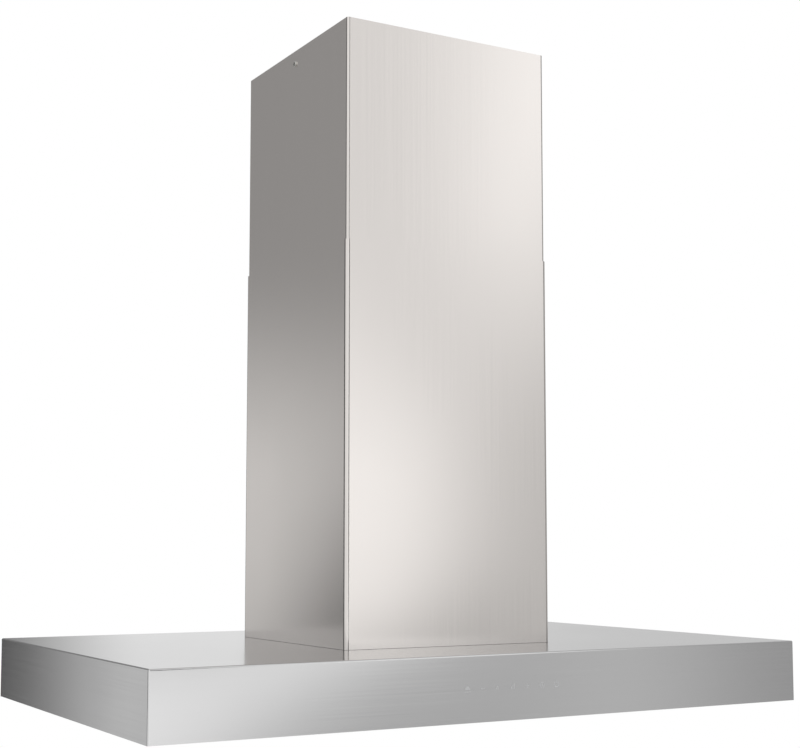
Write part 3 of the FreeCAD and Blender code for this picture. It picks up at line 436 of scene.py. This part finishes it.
def makeZincBloom(s):
    # the crystal pattern of zinc coated sheet
    tree, given, result = newGroup("zincBloom", ["Scale"], ["Spangle", "Cloud"])
    vector = given.outputs["Vector"]
    cells = tree.nodes.new("ShaderNodeTexVoronoi")
    tree.links.new(vector, cells.inputs["Vector"])
    tree.links.new(given.outputs["Scale"], cells.inputs["Scale"])
    tint = tree.nodes.new("ShaderNodeSeparateColor")
    tree.links.new(cells.outputs["Color"], tint.inputs[0])
    tree.links.new(tint.outputs[0], result.inputs["Spangle"])
    cloud = noise(tree, vector, s["cloudScale"], s["cloudDetail"])
    tree.links.new(cloud, result.inputs["Cloud"])
    return tree


skinSet = {"pebbleDetail": 2.0, "flowScale": 22.0, "flowDetail": 3.0, "flowRough": 0.6}


def makeMouldedSkin(s):
    # fine texture and faint flow marks of a moulded piece
    tree, given, result = newGroup("mouldedSkin", ["Scale"], ["Pebble", "Flow"])
    vector = given.outputs["Vector"]
    pebble = noise(tree, vector, given.outputs["Scale"], s["pebbleDetail"])
    tree.links.new(pebble, result.inputs["Pebble"])
    flow = noise(tree, vector, s["flowScale"], s["flowDetail"], s["flowRough"])
    tree.links.new(flow, result.inputs["Flow"])
    return tree


brushedGrain = makeBrushedGrain(grainSet)
zincBloom = makeZincBloom(bloomSet)
mouldedSkin = makeMouldedSkin(skinSet)
print("surface effects set")


# finish helpers
def startFinish(name):
    finish = bpy.data.materials.new(name)
    finish.use_nodes = True
    tree = finish.node_tree
    tree.nodes.clear()
    shader = tree.nodes.new("ShaderNodeBsdfPrincipled")
    output = tree.nodes.new("ShaderNodeOutputMaterial")
    tree.links.new(shader.outputs[0], output.inputs["Surface"])
    coords = tree.nodes.new("ShaderNodeTexCoord")
    return finish, tree, shader, coords.outputs["Object"]


def placeGroup(tree, group, vector, **values):
    node = tree.nodes.new("ShaderNodeGroup")
    node.node_tree = group
    tree.links.new(vector, node.inputs["Vector"])
    for name, value in values.items():
        node.inputs[name].default_value = value
    return node.outputs


def addBump(tree, shader, height, strength, depth):
    bump = tree.nodes.new("ShaderNodeBump")
    bump.inputs["Strength"].default_value = strength
    bump.inputs["Distance"].default_value = depth
    tree.links.new(height, bump.inputs["Height"])
    tree.links.new(bump.outputs[0], shader.inputs["Normal"])


def shade(colour, factor=1.0):
    return tuple(min(1.0, part * factor) for part in colour) + (1.0,)


def blendShades(tree, mask, colour, factors):
    return blendColour(tree, mask, shade(colour, factors[0]), shade(colour, factors[1]))


def mixPatterns(tree, first, firstShare, second, secondShare):
    first = calc(tree, "MULTIPLY", first, firstShare)
    second = calc(tree, "MULTIPLY", second, secondShare)
    return calc(tree, "ADD", first, second)


# brushed sheet and turned metal; wear is the range of the pattern that moves the roughness
brushedBase = {
    "streak": (0.3, 0.7),
    "streakShare": 0.6,
    "cloudShare": 0.4,
    "wear": (0.25, 0.75),
    "depth": 0.0002,
    "plainEdge": (1, 1, 1),
}
brushedSet = {
    "canopySteel": {
        "colour": (0.752, 0.75, 0.752), "rough": (0.13, 0.17), "fine": 900, "long": 3, "upright": 0,
        "contrast": 0.011, "bump": 0.007, "edgeTint": (0.78, 0.78, 0.78),
    },
    "flueSteel": {
        "colour": (0.842, 0.803, 0.774), "rough": (0.14, 0.18), "fine": 900, "long": 3, "upright": 1,
        "contrast": 0.014, "bump": 0.006, "edgeTint": (0.78, 0.78, 0.78),
    },
    "linerSteel": {
        "colour": (0.70, 0.705, 0.715), "rough": (0.22, 0.32), "fine": 900, "long": 3, "upright": 0,
        "contrast": 0.03, "bump": 0.018,
    },
    "filterSteel": {
        "colour": (0.68, 0.685, 0.695), "rough": (0.2, 0.32), "fine": 1200, "long": 6, "upright": 0,
        "contrast": 0.05, "bump": 0.05,
    },
    "baffleSteel": {
        "colour": (0.66, 0.665, 0.675), "rough": (0.18, 0.3), "fine": 1300, "long": 6, "upright": 0,
        "contrast": 0.05, "bump": 0.05,
    },
    "latchSteel": {
        "colour": (0.74, 0.74, 0.745), "rough": (0.14, 0.24), "fine": 2000, "long": 20, "upright": 0,
        "contrast": 0.04, "bump": 0.04,
    },
    "shaftSteel": {
        "colour": (0.6, 0.6, 0.61), "rough": (0.12, 0.22), "fine": 1500, "long": 30, "upright": 0,
        "contrast": 0.05, "bump": 0.03,
    },
    "lampAluminium": {
        "colour": (0.77, 0.775, 0.78), "rough": (0.3, 0.42), "fine": 1400, "long": 5, "upright": 0,
        "contrast": 0.04, "bump": 0.04,
    },
    "boltSteel": {
        "colour": (0.62, 0.615, 0.59), "rough": (0.22, 0.36), "fine": 2500, "long": 60, "upright": 0,
        "contrast": 0.07, "bump": 0.05,
    },
}


def brushedFinish(name, s, base):
    finish, tree, shader, vector = startFinish(name)
    grain = placeGroup(tree, brushedGrain, vector, Fine=s["fine"], Long=s["long"], Upright=s["upright"])
    streaks = fade(tree, grain["Streak"], *base["streak"])
    colour = blendShades(tree, streaks, s["colour"], (1 - s["contrast"], 1 + s["contrast"]))
    tree.links.new(colour, shader.inputs["Base Color"])
    shader.inputs["Metallic"].default_value = 1.0
    shader.inputs["Specular Tint"].default_value = shade(s.get("edgeTint", base["plainEdge"]))
    worn = mixPatterns(tree, grain["Streak"], base["streakShare"], grain["Cloud"], base["cloudShare"])
    tree.links.new(fade(tree, worn, *base["wear"], *s["rough"]), shader.inputs["Roughness"])
    addBump(tree, shader, grain["Streak"], s["bump"], base["depth"])
    return finish


# zinc coated sheet
zincBase = {
    "cellShades": (0.86, 1.1),
    "cloud": (0.45, 0.8),
    "cloudShade": 0.8,
    "metal": 0.9,
    "share": 0.5,
    "wear": (0.2, 0.8),
    "bump": 0.05,
    "depth": 0.0004,
}
zincSet = {
    "frameSteel": {"colour": (0.60, 0.615, 0.63), "rough": (0.32, 0.46), "scale": 95},
    "blowerSteel": {"colour": (0.64, 0.65, 0.66), "rough": (0.34, 0.48), "scale": 75},
}


def zincFinish(name, s, base):
    finish, tree, shader, vector = startFinish(name)
    bloom = placeGroup(tree, zincBloom, vector, Scale=s["scale"])
    cells = blendShades(tree, bloom["Spangle"], s["colour"], base["cellShades"])
    clouds = fade(tree, bloom["Cloud"], *base["cloud"])
    colour = blendColour(tree, clouds, cells, shade(s["colour"], base["cloudShade"]))
    tree.links.new(colour, shader.inputs["Base Color"])
    shader.inputs["Metallic"].default_value = base["metal"]
    worn = mixPatterns(tree, bloom["Spangle"], base["share"], bloom["Cloud"], base["share"])
    tree.links.new(fade(tree, worn, *base["wear"], *s["rough"]), shader.inputs["Roughness"])
    addBump(tree, shader, bloom["Cloud"], base["bump"], base["depth"])
    return finish


# moulded plastic, rubber and print
mouldedBase = {"shades": (0.9, 1.1), "wear": (0.25, 0.75), "depth": 0.0003}
mouldedSet = {
    "scrollPlastic": {"colour": (0.055, 0.057, 0.06), "rough": (0.42, 0.55), "scale": 1400, "bump": 0.12},
    "wheelPlastic": {"colour": (0.09, 0.095, 0.1), "rough": (0.35, 0.48), "scale": 1600, "bump": 0.1},
    "capacitorPlastic": {"colour": (0.74, 0.75, 0.76), "rough": (0.4, 0.5), "scale": 1500, "bump": 0.1},
    "collarPlastic": {"colour": (0.07, 0.072, 0.075), "rough": (0.4, 0.52), "scale": 1400, "bump": 0.12},
    "damperPlastic": {"colour": (0.62, 0.62, 0.6), "rough": (0.42, 0.52), "scale": 1400, "bump": 0.1},
    "casePlastic": {"colour": (0.66, 0.66, 0.64), "rough": (0.45, 0.58), "scale": 1300, "bump": 0.14},
    "grommetRubber": {"colour": (0.03, 0.03, 0.031), "rough": (0.6, 0.75), "scale": 2200, "bump": 0.2},
    "touchPrint": {"colour": (0.47, 0.475, 0.48), "rough": (0.4, 0.5), "scale": 3000, "bump": 0.05},
}


def mouldedFinish(name, s, base):
    finish, tree, shader, vector = startFinish(name)
    skin = placeGroup(tree, mouldedSkin, vector, Scale=s["scale"])
    colour = blendShades(tree, skin["Flow"], s["colour"], base["shades"])
    tree.links.new(colour, shader.inputs["Base Color"])
    tree.links.new(fade(tree, skin["Flow"], *base["wear"], *s["rough"]), shader.inputs["Roughness"])
    addBump(tree, shader, skin["Pebble"], s["bump"], base["depth"])
    return finish


# a bare steel stator band between two painted bells
motorSet = {
    "grain": {"Fine": 1500.0, "Long": 40.0, "Upright": 1.0},
    "paint": (0.16, 0.165, 0.17),
    "paintShades": (0.85, 1.15),
    "band": (0.52, 0.525, 0.53),
    "bandShades": (0.75, 1.05),
    "bandFrom": 0.03,
    "bandTo": 0.05,
    "bandMetal": 0.9,
    "leaves": 1400.0,      # light and dark ones in a metre
    "wear": (0.3, 0.7),
    "rough": (0.34, 0.48),
    "bump": 0.25,
    "depth": 0.0002,
}


def makeMotorMetal(s):
    finish, tree, shader, vector = startFinish("motorMetal")
    grain = placeGroup(tree, brushedGrain, vector, **s["grain"])
    along = split(tree, vector)["X"]
    pastStart = calc(tree, "GREATER_THAN", along, s["bandFrom"])
    beforeEnd = calc(tree, "LESS_THAN", along, s["bandTo"])
    inside = calc(tree, "MULTIPLY", pastStart, beforeEnd)
    leaf = calc(tree, "PINGPONG", calc(tree, "MULTIPLY", along, s["leaves"]), 1.0)
    steel = blendShades(tree, leaf, s["band"], s["bandShades"])
    paint = blendShades(tree, grain["Cloud"], s["paint"], s["paintShades"])
    tree.links.new(blendColour(tree, inside, paint, steel), shader.inputs["Base Color"])
    tree.links.new(calc(tree, "MULTIPLY", inside, s["bandMetal"]), shader.inputs["Metallic"])
    tree.links.new(fade(tree, grain["Streak"], *s["wear"], *s["rough"]), shader.inputs["Roughness"])
    addBump(tree, shader, calc(tree, "MULTIPLY", leaf, inside), s["bump"], s["depth"])
    return finish


# green board with paler tracks, dark parts above its face
boardSet = {
    "mask": (0.03, 0.16, 0.07),
    "track": (0.08, 0.26, 0.12),
    "trackScale": 130.0,
    "trackEdge": (0.06, 0.1),
    "block": (0.05, 0.05, 0.055),
    "blockShades": (0.8, 1.2),
    "top": -0.8222,           # height of the power board's face
    "topBlend": 0.0004,
    "skinScale": 1500.0,
    "wear": (0.3, 0.7),
    "rough": (0.3, 0.45),
    "bump": 0.15,
    "depth": 0.0002,
}


def makeCircuitBoard(s):
    finish, tree, shader, vector = startFinish("circuitBoard")
    lanes = tree.nodes.new("ShaderNodeTexVoronoi")
    lanes.distance = "MANHATTAN"
    lanes.feature = "DISTANCE_TO_EDGE"
    tree.links.new(vector, lanes.inputs["Vector"])
    lanes.inputs["Scale"].default_value = s["trackScale"]
    track = fade(tree, lanes.outputs["Distance"], *s["trackEdge"], 1.0, 0.0)
    board = blendColour(tree, track, shade(s["mask"]), shade(s["track"]))
    above = fade(tree, split(tree, vector)["Z"], s["top"], s["top"] + s["topBlend"])
    skin = placeGroup(tree, mouldedSkin, vector, Scale=s["skinScale"])
    block = blendShades(tree, skin["Flow"], s["block"], s["blockShades"])
    tree.links.new(blendColour(tree, above, board, block), shader.inputs["Base Color"])
    tree.links.new(fade(tree, skin["Flow"], *s["wear"], *s["rough"]), shader.inputs["Roughness"])
    addBump(tree, shader, track, s["bump"], s["depth"])
    return finish


# frosted strip with fine ribs along its length
diffuserSet = {
    "colour": (0.86, 0.865, 0.86),
    "shades": (0.95, 1.03),
    "ribs": 900.0,            # rising and falling flanks in a metre
    "hazeScale": 40.0,
    "hazeDetail": 3.0,
    "wear": (0.3, 0.7),
    "rough": (0.32, 0.42),
    "milk": 0.15,
    "milkDepth": (0.002, 0.002, 0.002),
    "bump": 0.3,
    "depth": 0.0003,
}


def makeLampDiffuser(s):
    finish, tree, shader, vector = startFinish("lampDiffuser")
    across = calc(tree, "MULTIPLY", split(tree, vector)["Y"], s["ribs"])
    rib = calc(tree, "PINGPONG", across, 1.0)
    haze = noise(tree, vector, s["hazeScale"], s["hazeDetail"])
    tree.links.new(blendShades(tree, haze, s["colour"], s["shades"]), shader.inputs["Base Color"])
    tree.links.new(fade(tree, haze, *s["wear"], *s["rough"]), shader.inputs["Roughness"])
    shader.inputs["Subsurface Weight"].default_value = s["milk"]
    shader.inputs["Subsurface Radius"].default_value = s["milkDepth"]
    addBump(tree, shader, rib, s["bump"], s["depth"])
    return finish


finishes = {}
for name, values in brushedSet.items():
    finishes[name] = brushedFinish(name, values, brushedBase)
for name, values in zincSet.items():
    finishes[name] = zincFinish(name, values, zincBase)
for name, values in mouldedSet.items():
    finishes[name] = mouldedFinish(name, values, mouldedBase)
finishes["motorMetal"] = makeMotorMetal(motorSet)
finishes["circuitBoard"] = makeCircuitBoard(boardSet)
finishes["lampDiffuser"] = makeLampDiffuser(diffuserSet)


def finishOf(slotName):
    first, *rest = slotName.split("_")
    return finishes[first + "".join(word.capitalize() for word in rest)]


# every CAD piece takes the finish of its slot in the record
for row in frame["record"]["subparts"]:
    for place in nodes[row["node"]].material_slots:
        place.material = finishOf(row["material_slot"])
print("finishes set:", len(finishes))

# modelling helpers
smoothAngle = math.radians(35)
levelNormal = 0.9      # a face is level where its normal's upward share passes this


def clearSelection():
    bpy.ops.object.select_all(action="DESELECT")


def makeActive(piece):
    clearSelection()
    piece.select_set(True)
    bpy.context.view_layer.objects.active = piece


def nameNew(name):
    piece = bpy.context.object
    piece.name = name
    piece.data.name = name
    return piece


def selectFaces(piece, wanted):
    bpy.ops.mesh.select_mode(type="FACE")
    bpy.ops.mesh.select_all(action="DESELECT")
    bpy.ops.object.mode_set(mode="OBJECT")
    for face in piece.data.polygons:
        face.select = wanted(face.center, face.normal)
    bpy.ops.object.mode_set(mode="EDIT")


def applyModifiers(piece):
    makeActive(piece)
    for modifier in list(piece.modifiers):
        bpy.ops.object.modifier_apply(modifier=modifier.name)


def thicken(piece, thickness):
    film = piece.modifiers.new("thickness", "SOLIDIFY")
    film.thickness = thickness
    film.offset = 1      # all of it on the side that the faces look to
    applyModifiers(piece)


def placePiece(piece, turn, place):
    makeActive(piece)
    piece.rotation_euler = turn
    piece.location = place
    bpy.ops.object.transform_apply(location=True, rotation=True, scale=True)


def joinPieces(pieces, name):
    clearSelection()
    for piece in pieces:
        piece.select_set(True)
    bpy.context.view_layer.objects.active = pieces[0]
    bpy.ops.object.join()
    return nameNew(name)


def finishPiece(piece, body, finishName):
    makeActive(piece)
    piece.data.materials.clear()
    piece.data.materials.append(finishes[finishName])
    bpy.ops.object.shade_smooth_by_angle(angle=smoothAngle)
    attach(piece, body)


# pan head screws with a cross recess, modelled once
screwSet = {
    "radius": 0.0036,
    "height": 0.0022,
    "sides": 28,
    "round": 0.0009,
    "roundSteps": 4,
    "slotLong": 0.0042,
    "slotWide": 0.0009,
    "slotDeep": 0.0011,
    "sheet": 0.001,                # of the liner and the canopy
    "linerAside": 0.25,            # from the middle, along the front and rear
    "linerEndInset": 0.0055,
    "linerEdgeInset": 0.006,
    "blowerAside": 0.0647,         # from the middle of each side of the blower box
    "blowerInset": 0.007,
    "lidInset": 0.006,
    "flueDrop": 0.018,             # from the ceiling
}


def fourPlaces(x, y, z):
    return [(a, b, z) for a in (-x, x) for b in (-y, y)]


def screwGroups(s):
    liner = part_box("liner")[1]
    linerEnd = liner.x - s["linerEndInset"]
    linerEdge = liner.y - s["linerEdgeInset"]
    linerUnder = liner.z - s["sheet"]
    linerPlaces = fourPlaces(s["linerAside"], linerEdge, linerUnder)
    linerPlaces += [(-linerEnd, 0, linerUnder), (linerEnd, 0, linerUnder)]

    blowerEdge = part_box("blower_box")[1].x - s["blowerInset"]
    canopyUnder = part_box("canopy_shell")[1].z - s["sheet"]
    blowerPlaces = fourPlaces(blowerEdge, s["blowerAside"], canopyUnder)
    blowerPlaces += fourPlaces(s["blowerAside"], blowerEdge, canopyUnder)

    lidLow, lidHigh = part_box("junction_lid")
    lidNear = lidLow.x + s["lidInset"]
    lidFar = lidHigh.x - s["lidInset"]
    lidPlaces = [(lidNear, lidFar, lidHigh.z), (lidFar, lidNear, lidHigh.z)]

    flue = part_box("upper_flue")[1]
    flueLevel = flue.z - s["flueDrop"]
    up = (0, 0, 0)
    down = (math.pi, 0, 0)
    toLeft = (0, -math.pi / 2, 0)
    toRight = (0, math.pi / 2, 0)
    return {
        "linerScrews": {"body": "hood", "turn": down, "places": linerPlaces},
        "blowerScrews": {"body": "hood", "turn": down, "places": blowerPlaces},
        "junctionScrews": {"body": "hood", "turn": up, "places": lidPlaces},
        "leftFlueScrew": {"body": "ceiling_frame", "turn": toLeft, "places": [(-flue.x, 0, flueLevel)]},
        "rightFlueScrew": {"body": "ceiling_frame", "turn": toRight, "places": [(flue.x, 0, flueLevel)]},
    }


def modelScrew(s):
    clearSelection()
    bpy.ops.mesh.primitive_cylinder_add(vertices=s["sides"], radius=s["radius"], depth=s["height"],
                                        location=(0, 0, s["height"] / 2))
    screw = nameNew("screwHead")
    bpy.ops.object.transform_apply(location=True, rotation=True, scale=True)
    bpy.ops.object.mode_set(mode="EDIT")
    selectFaces(screw, lambda centre, normal: normal.z > levelNormal)
    bpy.ops.mesh.bevel(offset=s["round"], segments=s["roundSteps"], affect="EDGES")
    bpy.ops.object.mode_set(mode="OBJECT")
    cutters = []
    for long, wide in ((s["slotLong"], s["slotWide"]), (s["slotWide"], s["slotLong"])):
        clearSelection()
        bpy.ops.mesh.primitive_cube_add(size=1, location=(0, 0, s["height"]))
        cutters.append(nameNew("recessArm"))
        bpy.ops.transform.resize(value=(long, wide, s["slotDeep"] * 2))
        bpy.ops.object.transform_apply(location=True, rotation=True, scale=True)
    for cutter in cutters:
        recess = screw.modifiers.new("crossRecess", "BOOLEAN")
        recess.operation = "DIFFERENCE"
        recess.object = cutter
    applyModifiers(screw)
    clearSelection()
    for cutter in cutters:
        cutter.select_set(True)
    bpy.ops.object.delete()
    return screw


def copyScrews(screw, groups):
    for name, group in groups.items():
        copies = []
        for place in group["places"]:
            makeActive(screw)
            bpy.ops.object.duplicate(linked=False)
            copies.append(bpy.context.object)
            placePiece(copies[-1], group["turn"], place)
        finishPiece(joinPieces(copies, name), group["body"], "boltSteel")
    makeActive(screw)
    bpy.ops.object.delete()


screws = screwGroups(screwSet)
copyScrews(modelScrew(screwSet), screws)
print("screws set:", len(screws), "groups")

# rubber grommet in the junction box's cable hole
grommetSet = {
    "radius": 0.0135,
    "bore": 0.0078,
    "neck": 0.0107,
    "length": 0.0042,
    "groove": 0.0011,
    "sides": 48,
    "round": 0.0004,
    "roundSteps": 3,
    "sharp": 50,            # degrees: flatter edges stay as they are
    "rim": 0.0005,          # depth in which a face still counts as the rim
    "weld": 0.00001,
    "wall": 0.001,          # of the junction box
}


def makeGrommet(s):
    clearSelection()
    bpy.ops.mesh.primitive_cylinder_add(vertices=s["sides"], radius=s["radius"], depth=s["length"])
    grommet = nameNew("cableGrommet")
    bpy.ops.object.mode_set(mode="EDIT")
    selectFaces(grommet, lambda centre, normal: abs(normal.z) > levelNormal)
    bpy.ops.mesh.inset(thickness=s["radius"] - s["bore"])
    bpy.ops.mesh.bridge_edge_loops()
    halfGroove = s["groove"] / 2
    for level in (-halfGroove, halfGroove):
        bpy.ops.mesh.select_all(action="SELECT")
        bpy.ops.mesh.bisect(plane_co=(0, 0, level), plane_no=(0, 0, 1))
    rim = s["radius"] - s["rim"]
    selectFaces(grommet, lambda centre, normal: abs(centre.z) < halfGroove and centre.xy.length > rim)
    ratio = s["neck"] / s["radius"]
    bpy.ops.mesh.extrude_region_move()
    bpy.ops.transform.resize(value=(ratio, ratio, 1))
    bpy.ops.mesh.select_all(action="SELECT")
    bpy.ops.mesh.remove_doubles(threshold=s["weld"])
    bpy.ops.mesh.normals_make_consistent(inside=False)
    bpy.ops.object.mode_set(mode="OBJECT")
    soft = grommet.modifiers.new("softLip", "BEVEL")
    soft.width = s["round"]
    soft.segments = s["roundSteps"]
    soft.angle_limit = math.radians(s["sharp"])
    applyModifiers(grommet)
    boxLow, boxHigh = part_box("junction_box")
    boxMiddle = (boxLow + boxHigh) / 2
    place = (boxMiddle.x, boxLow.y + s["wall"] / 2, boxMiddle.z)
    placePiece(grommet, (math.pi / 2, 0, 0), place)
    finishPiece(grommet, "hood", "grommetRubber")


makeGrommet(grommetSet)
print("grommet set")

# painted shade: a hair-thin dark rubber strip round the flue's foot, standing for the shadow in the joint
# between flue and canopy
shadowStripSet = {"proud": 0.0002, "height": 0.0002, "corner": 0.005, "cornerSteps": 8}


def makeFlueShadowStrip(s):
    flueLow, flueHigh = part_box("lower_flue")
    clearSelection()
    bpy.ops.mesh.primitive_plane_add(size=2 * (flueHigh.x + s["proud"]))
    shadowStrip = nameNew("flueSeal")
    bpy.ops.object.mode_set(mode="EDIT")
    bpy.ops.mesh.select_all(action="SELECT")
    bpy.ops.mesh.bevel(offset=s["corner"] + s["proud"], segments=s["cornerSteps"], affect="VERTICES")
    bpy.ops.mesh.select_all(action="SELECT")
    bpy.ops.mesh.inset(thickness=s["proud"])
    bpy.ops.mesh.delete(type="FACE")
    bpy.ops.object.mode_set(mode="OBJECT")
    thicken(shadowStrip, s["height"])
    placePiece(shadowStrip, (0, 0, 0), (0, 0, flueLow.z))
    # the strip takes the grommet's dark rubber finish as painted shade
    finishPiece(shadowStrip, "hood", "grommetRubber")


makeFlueShadowStrip(shadowStripSet)
print("flue seal set")

# seven generic touch marks printed on the canopy front, with strokes in millimetres and degrees
# a bar is x, y, width, height and turn
# a ring is x, y, radius, width and the two ends of its gap
# a lamp shade is x, y, width and height
mm = 0.001
touchSet = {
    "pitch": 0.021,
    "thickness": 0.00012,
    "barCorner": 0.4,         # as a share of the bar's narrower side
    "cornerSteps": 3,
    "ringSides": 48,
    "shadeTop": 0.3,          # as a share of the shade's width
    "shadeCorner": 0.4,
    "marks": {
        "lampMark": {
            "bars": [(0, -3.4, 0.8, 1.8, 0), (-3.0, -3.0, 0.8, 1.8, -28), (3.0, -3.0, 0.8, 1.8, 28)],
            "shades": [(0, 1.2, 7.5, 4.0)],
        },
        "dimMark": {"bars": [(0, 0, 5.0, 0.9, 0)]},
        "slowMark": {"bars": [(-2.0, -1.2, 1.0, 2.6, 0), (0, -0.4, 1.0, 4.2, 0)]},
        "fastMark": {
            "bars": [(-2.0, -1.2, 1.0, 2.6, 0), (0, -0.4, 1.0, 4.2, 0), (2.0, 0.4, 1.0, 5.8, 0)],
        },
        "brightMark": {
            "bars": [(0, 0, 0.9, 5.4, 0), (-1.6, 0, 2.2, 0.9, 0), (1.6, 0, 2.2, 0.9, 0)],
        },
        "timerMark": {
            "rings": [(0, 0, 3.4, 0.8, (0, 0))],
            "bars": [(0, 0.9, 0.8, 2.2, 0), (0.9, -0.2, 1.4, 0.8, 0)],
        },
        "powerMark": {
            "rings": [(0, 0, 3.5, 0.9, (60, 120))],
            "bars": [(0, 2.6, 0.9, 3.4, 0)],
        },
    },
}


def startStroke(name, width, height):
    clearSelection()
    bpy.ops.mesh.primitive_plane_add(size=1)
    stroke = nameNew(name)
    bpy.ops.object.mode_set(mode="EDIT")
    bpy.ops.mesh.select_all(action="SELECT")
    bpy.ops.transform.resize(value=(width * mm, height * mm, 1))
    return stroke


def makeBar(s, x, y, width, height, turn):
    bar = startStroke("markBar", width, height)
    corner = s["barCorner"] * min(width, height) * mm
    bpy.ops.mesh.bevel(offset=corner, segments=s["cornerSteps"], affect="VERTICES")
    bpy.ops.object.mode_set(mode="OBJECT")
    placePiece(bar, (0, 0, math.radians(turn)), (x * mm, y * mm, 0))
    return bar


def makeRing(s, x, y, radius, width, gap):
    clearSelection()
    bpy.ops.mesh.primitive_circle_add(vertices=s["ringSides"], radius=radius * mm, fill_type="NOTHING")
    ring = nameNew("markRing")
    bpy.ops.object.mode_set(mode="EDIT")
    bpy.ops.mesh.select_all(action="SELECT")
    bpy.ops.mesh.extrude_edges_move()
    ratio = 1 - width / radius
    bpy.ops.transform.resize(value=(ratio, ratio, 1))
    start, end = gap
    selectFaces(ring, lambda centre, normal: start < math.degrees(math.atan2(centre.y, centre.x)) < end)
    bpy.ops.mesh.delete(type="FACE")
    bpy.ops.object.mode_set(mode="OBJECT")
    placePiece(ring, (0, 0, 0), (x * mm, y * mm, 0))
    return ring


def makeLampShade(s, x, y, width, height):
    # seen from the side: a wide bar narrowed at its upper end
    lampShade = startStroke("markShade", width, height)
    bpy.ops.mesh.select_mode(type="VERT")
    bpy.ops.mesh.select_all(action="DESELECT")
    bpy.ops.object.mode_set(mode="OBJECT")
    for corner in lampShade.data.vertices:
        corner.select = corner.co.y > 0
    bpy.ops.object.mode_set(mode="EDIT")
    bpy.ops.transform.resize(value=(s["shadeTop"], 1, 1))
    bpy.ops.mesh.select_all(action="SELECT")
    bpy.ops.mesh.bevel(offset=s["shadeCorner"] * mm, segments=s["cornerSteps"], affect="VERTICES")
    bpy.ops.object.mode_set(mode="OBJECT")
    placePiece(lampShade, (0, 0, 0), (x * mm, y * mm, 0))
    return lampShade


def makeTouchMarks(s):
    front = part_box("canopy_shell")[0].y
    boardLow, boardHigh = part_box("touch_board")
    level = (boardLow.z + boardHigh.z) / 2
    middle = (len(s["marks"]) - 1) / 2
    for index, (name, mark) in enumerate(s["marks"].items()):
        strokes = [makeBar(s, *bar) for bar in mark.get("bars", [])]
        strokes += [makeRing(s, *ring) for ring in mark.get("rings", [])]
        strokes += [makeLampShade(s, *lampShade) for lampShade in mark.get("shades", [])]
        piece = joinPieces(strokes, name)
        bpy.ops.object.mode_set(mode="EDIT")
        bpy.ops.mesh.select_all(action="SELECT")
        bpy.ops.mesh.normals_make_consistent(inside=False)
        bpy.ops.object.mode_set(mode="OBJECT")
        thicken(piece, s["thickness"])
        placePiece(piece, (math.pi / 2, 0, 0), ((index - middle) * s["pitch"], front, level))
        finishPiece(piece, "hood", "touchPrint")


makeTouchMarks(touchSet)
print("touch marks set:", len(touchSet["marks"]))
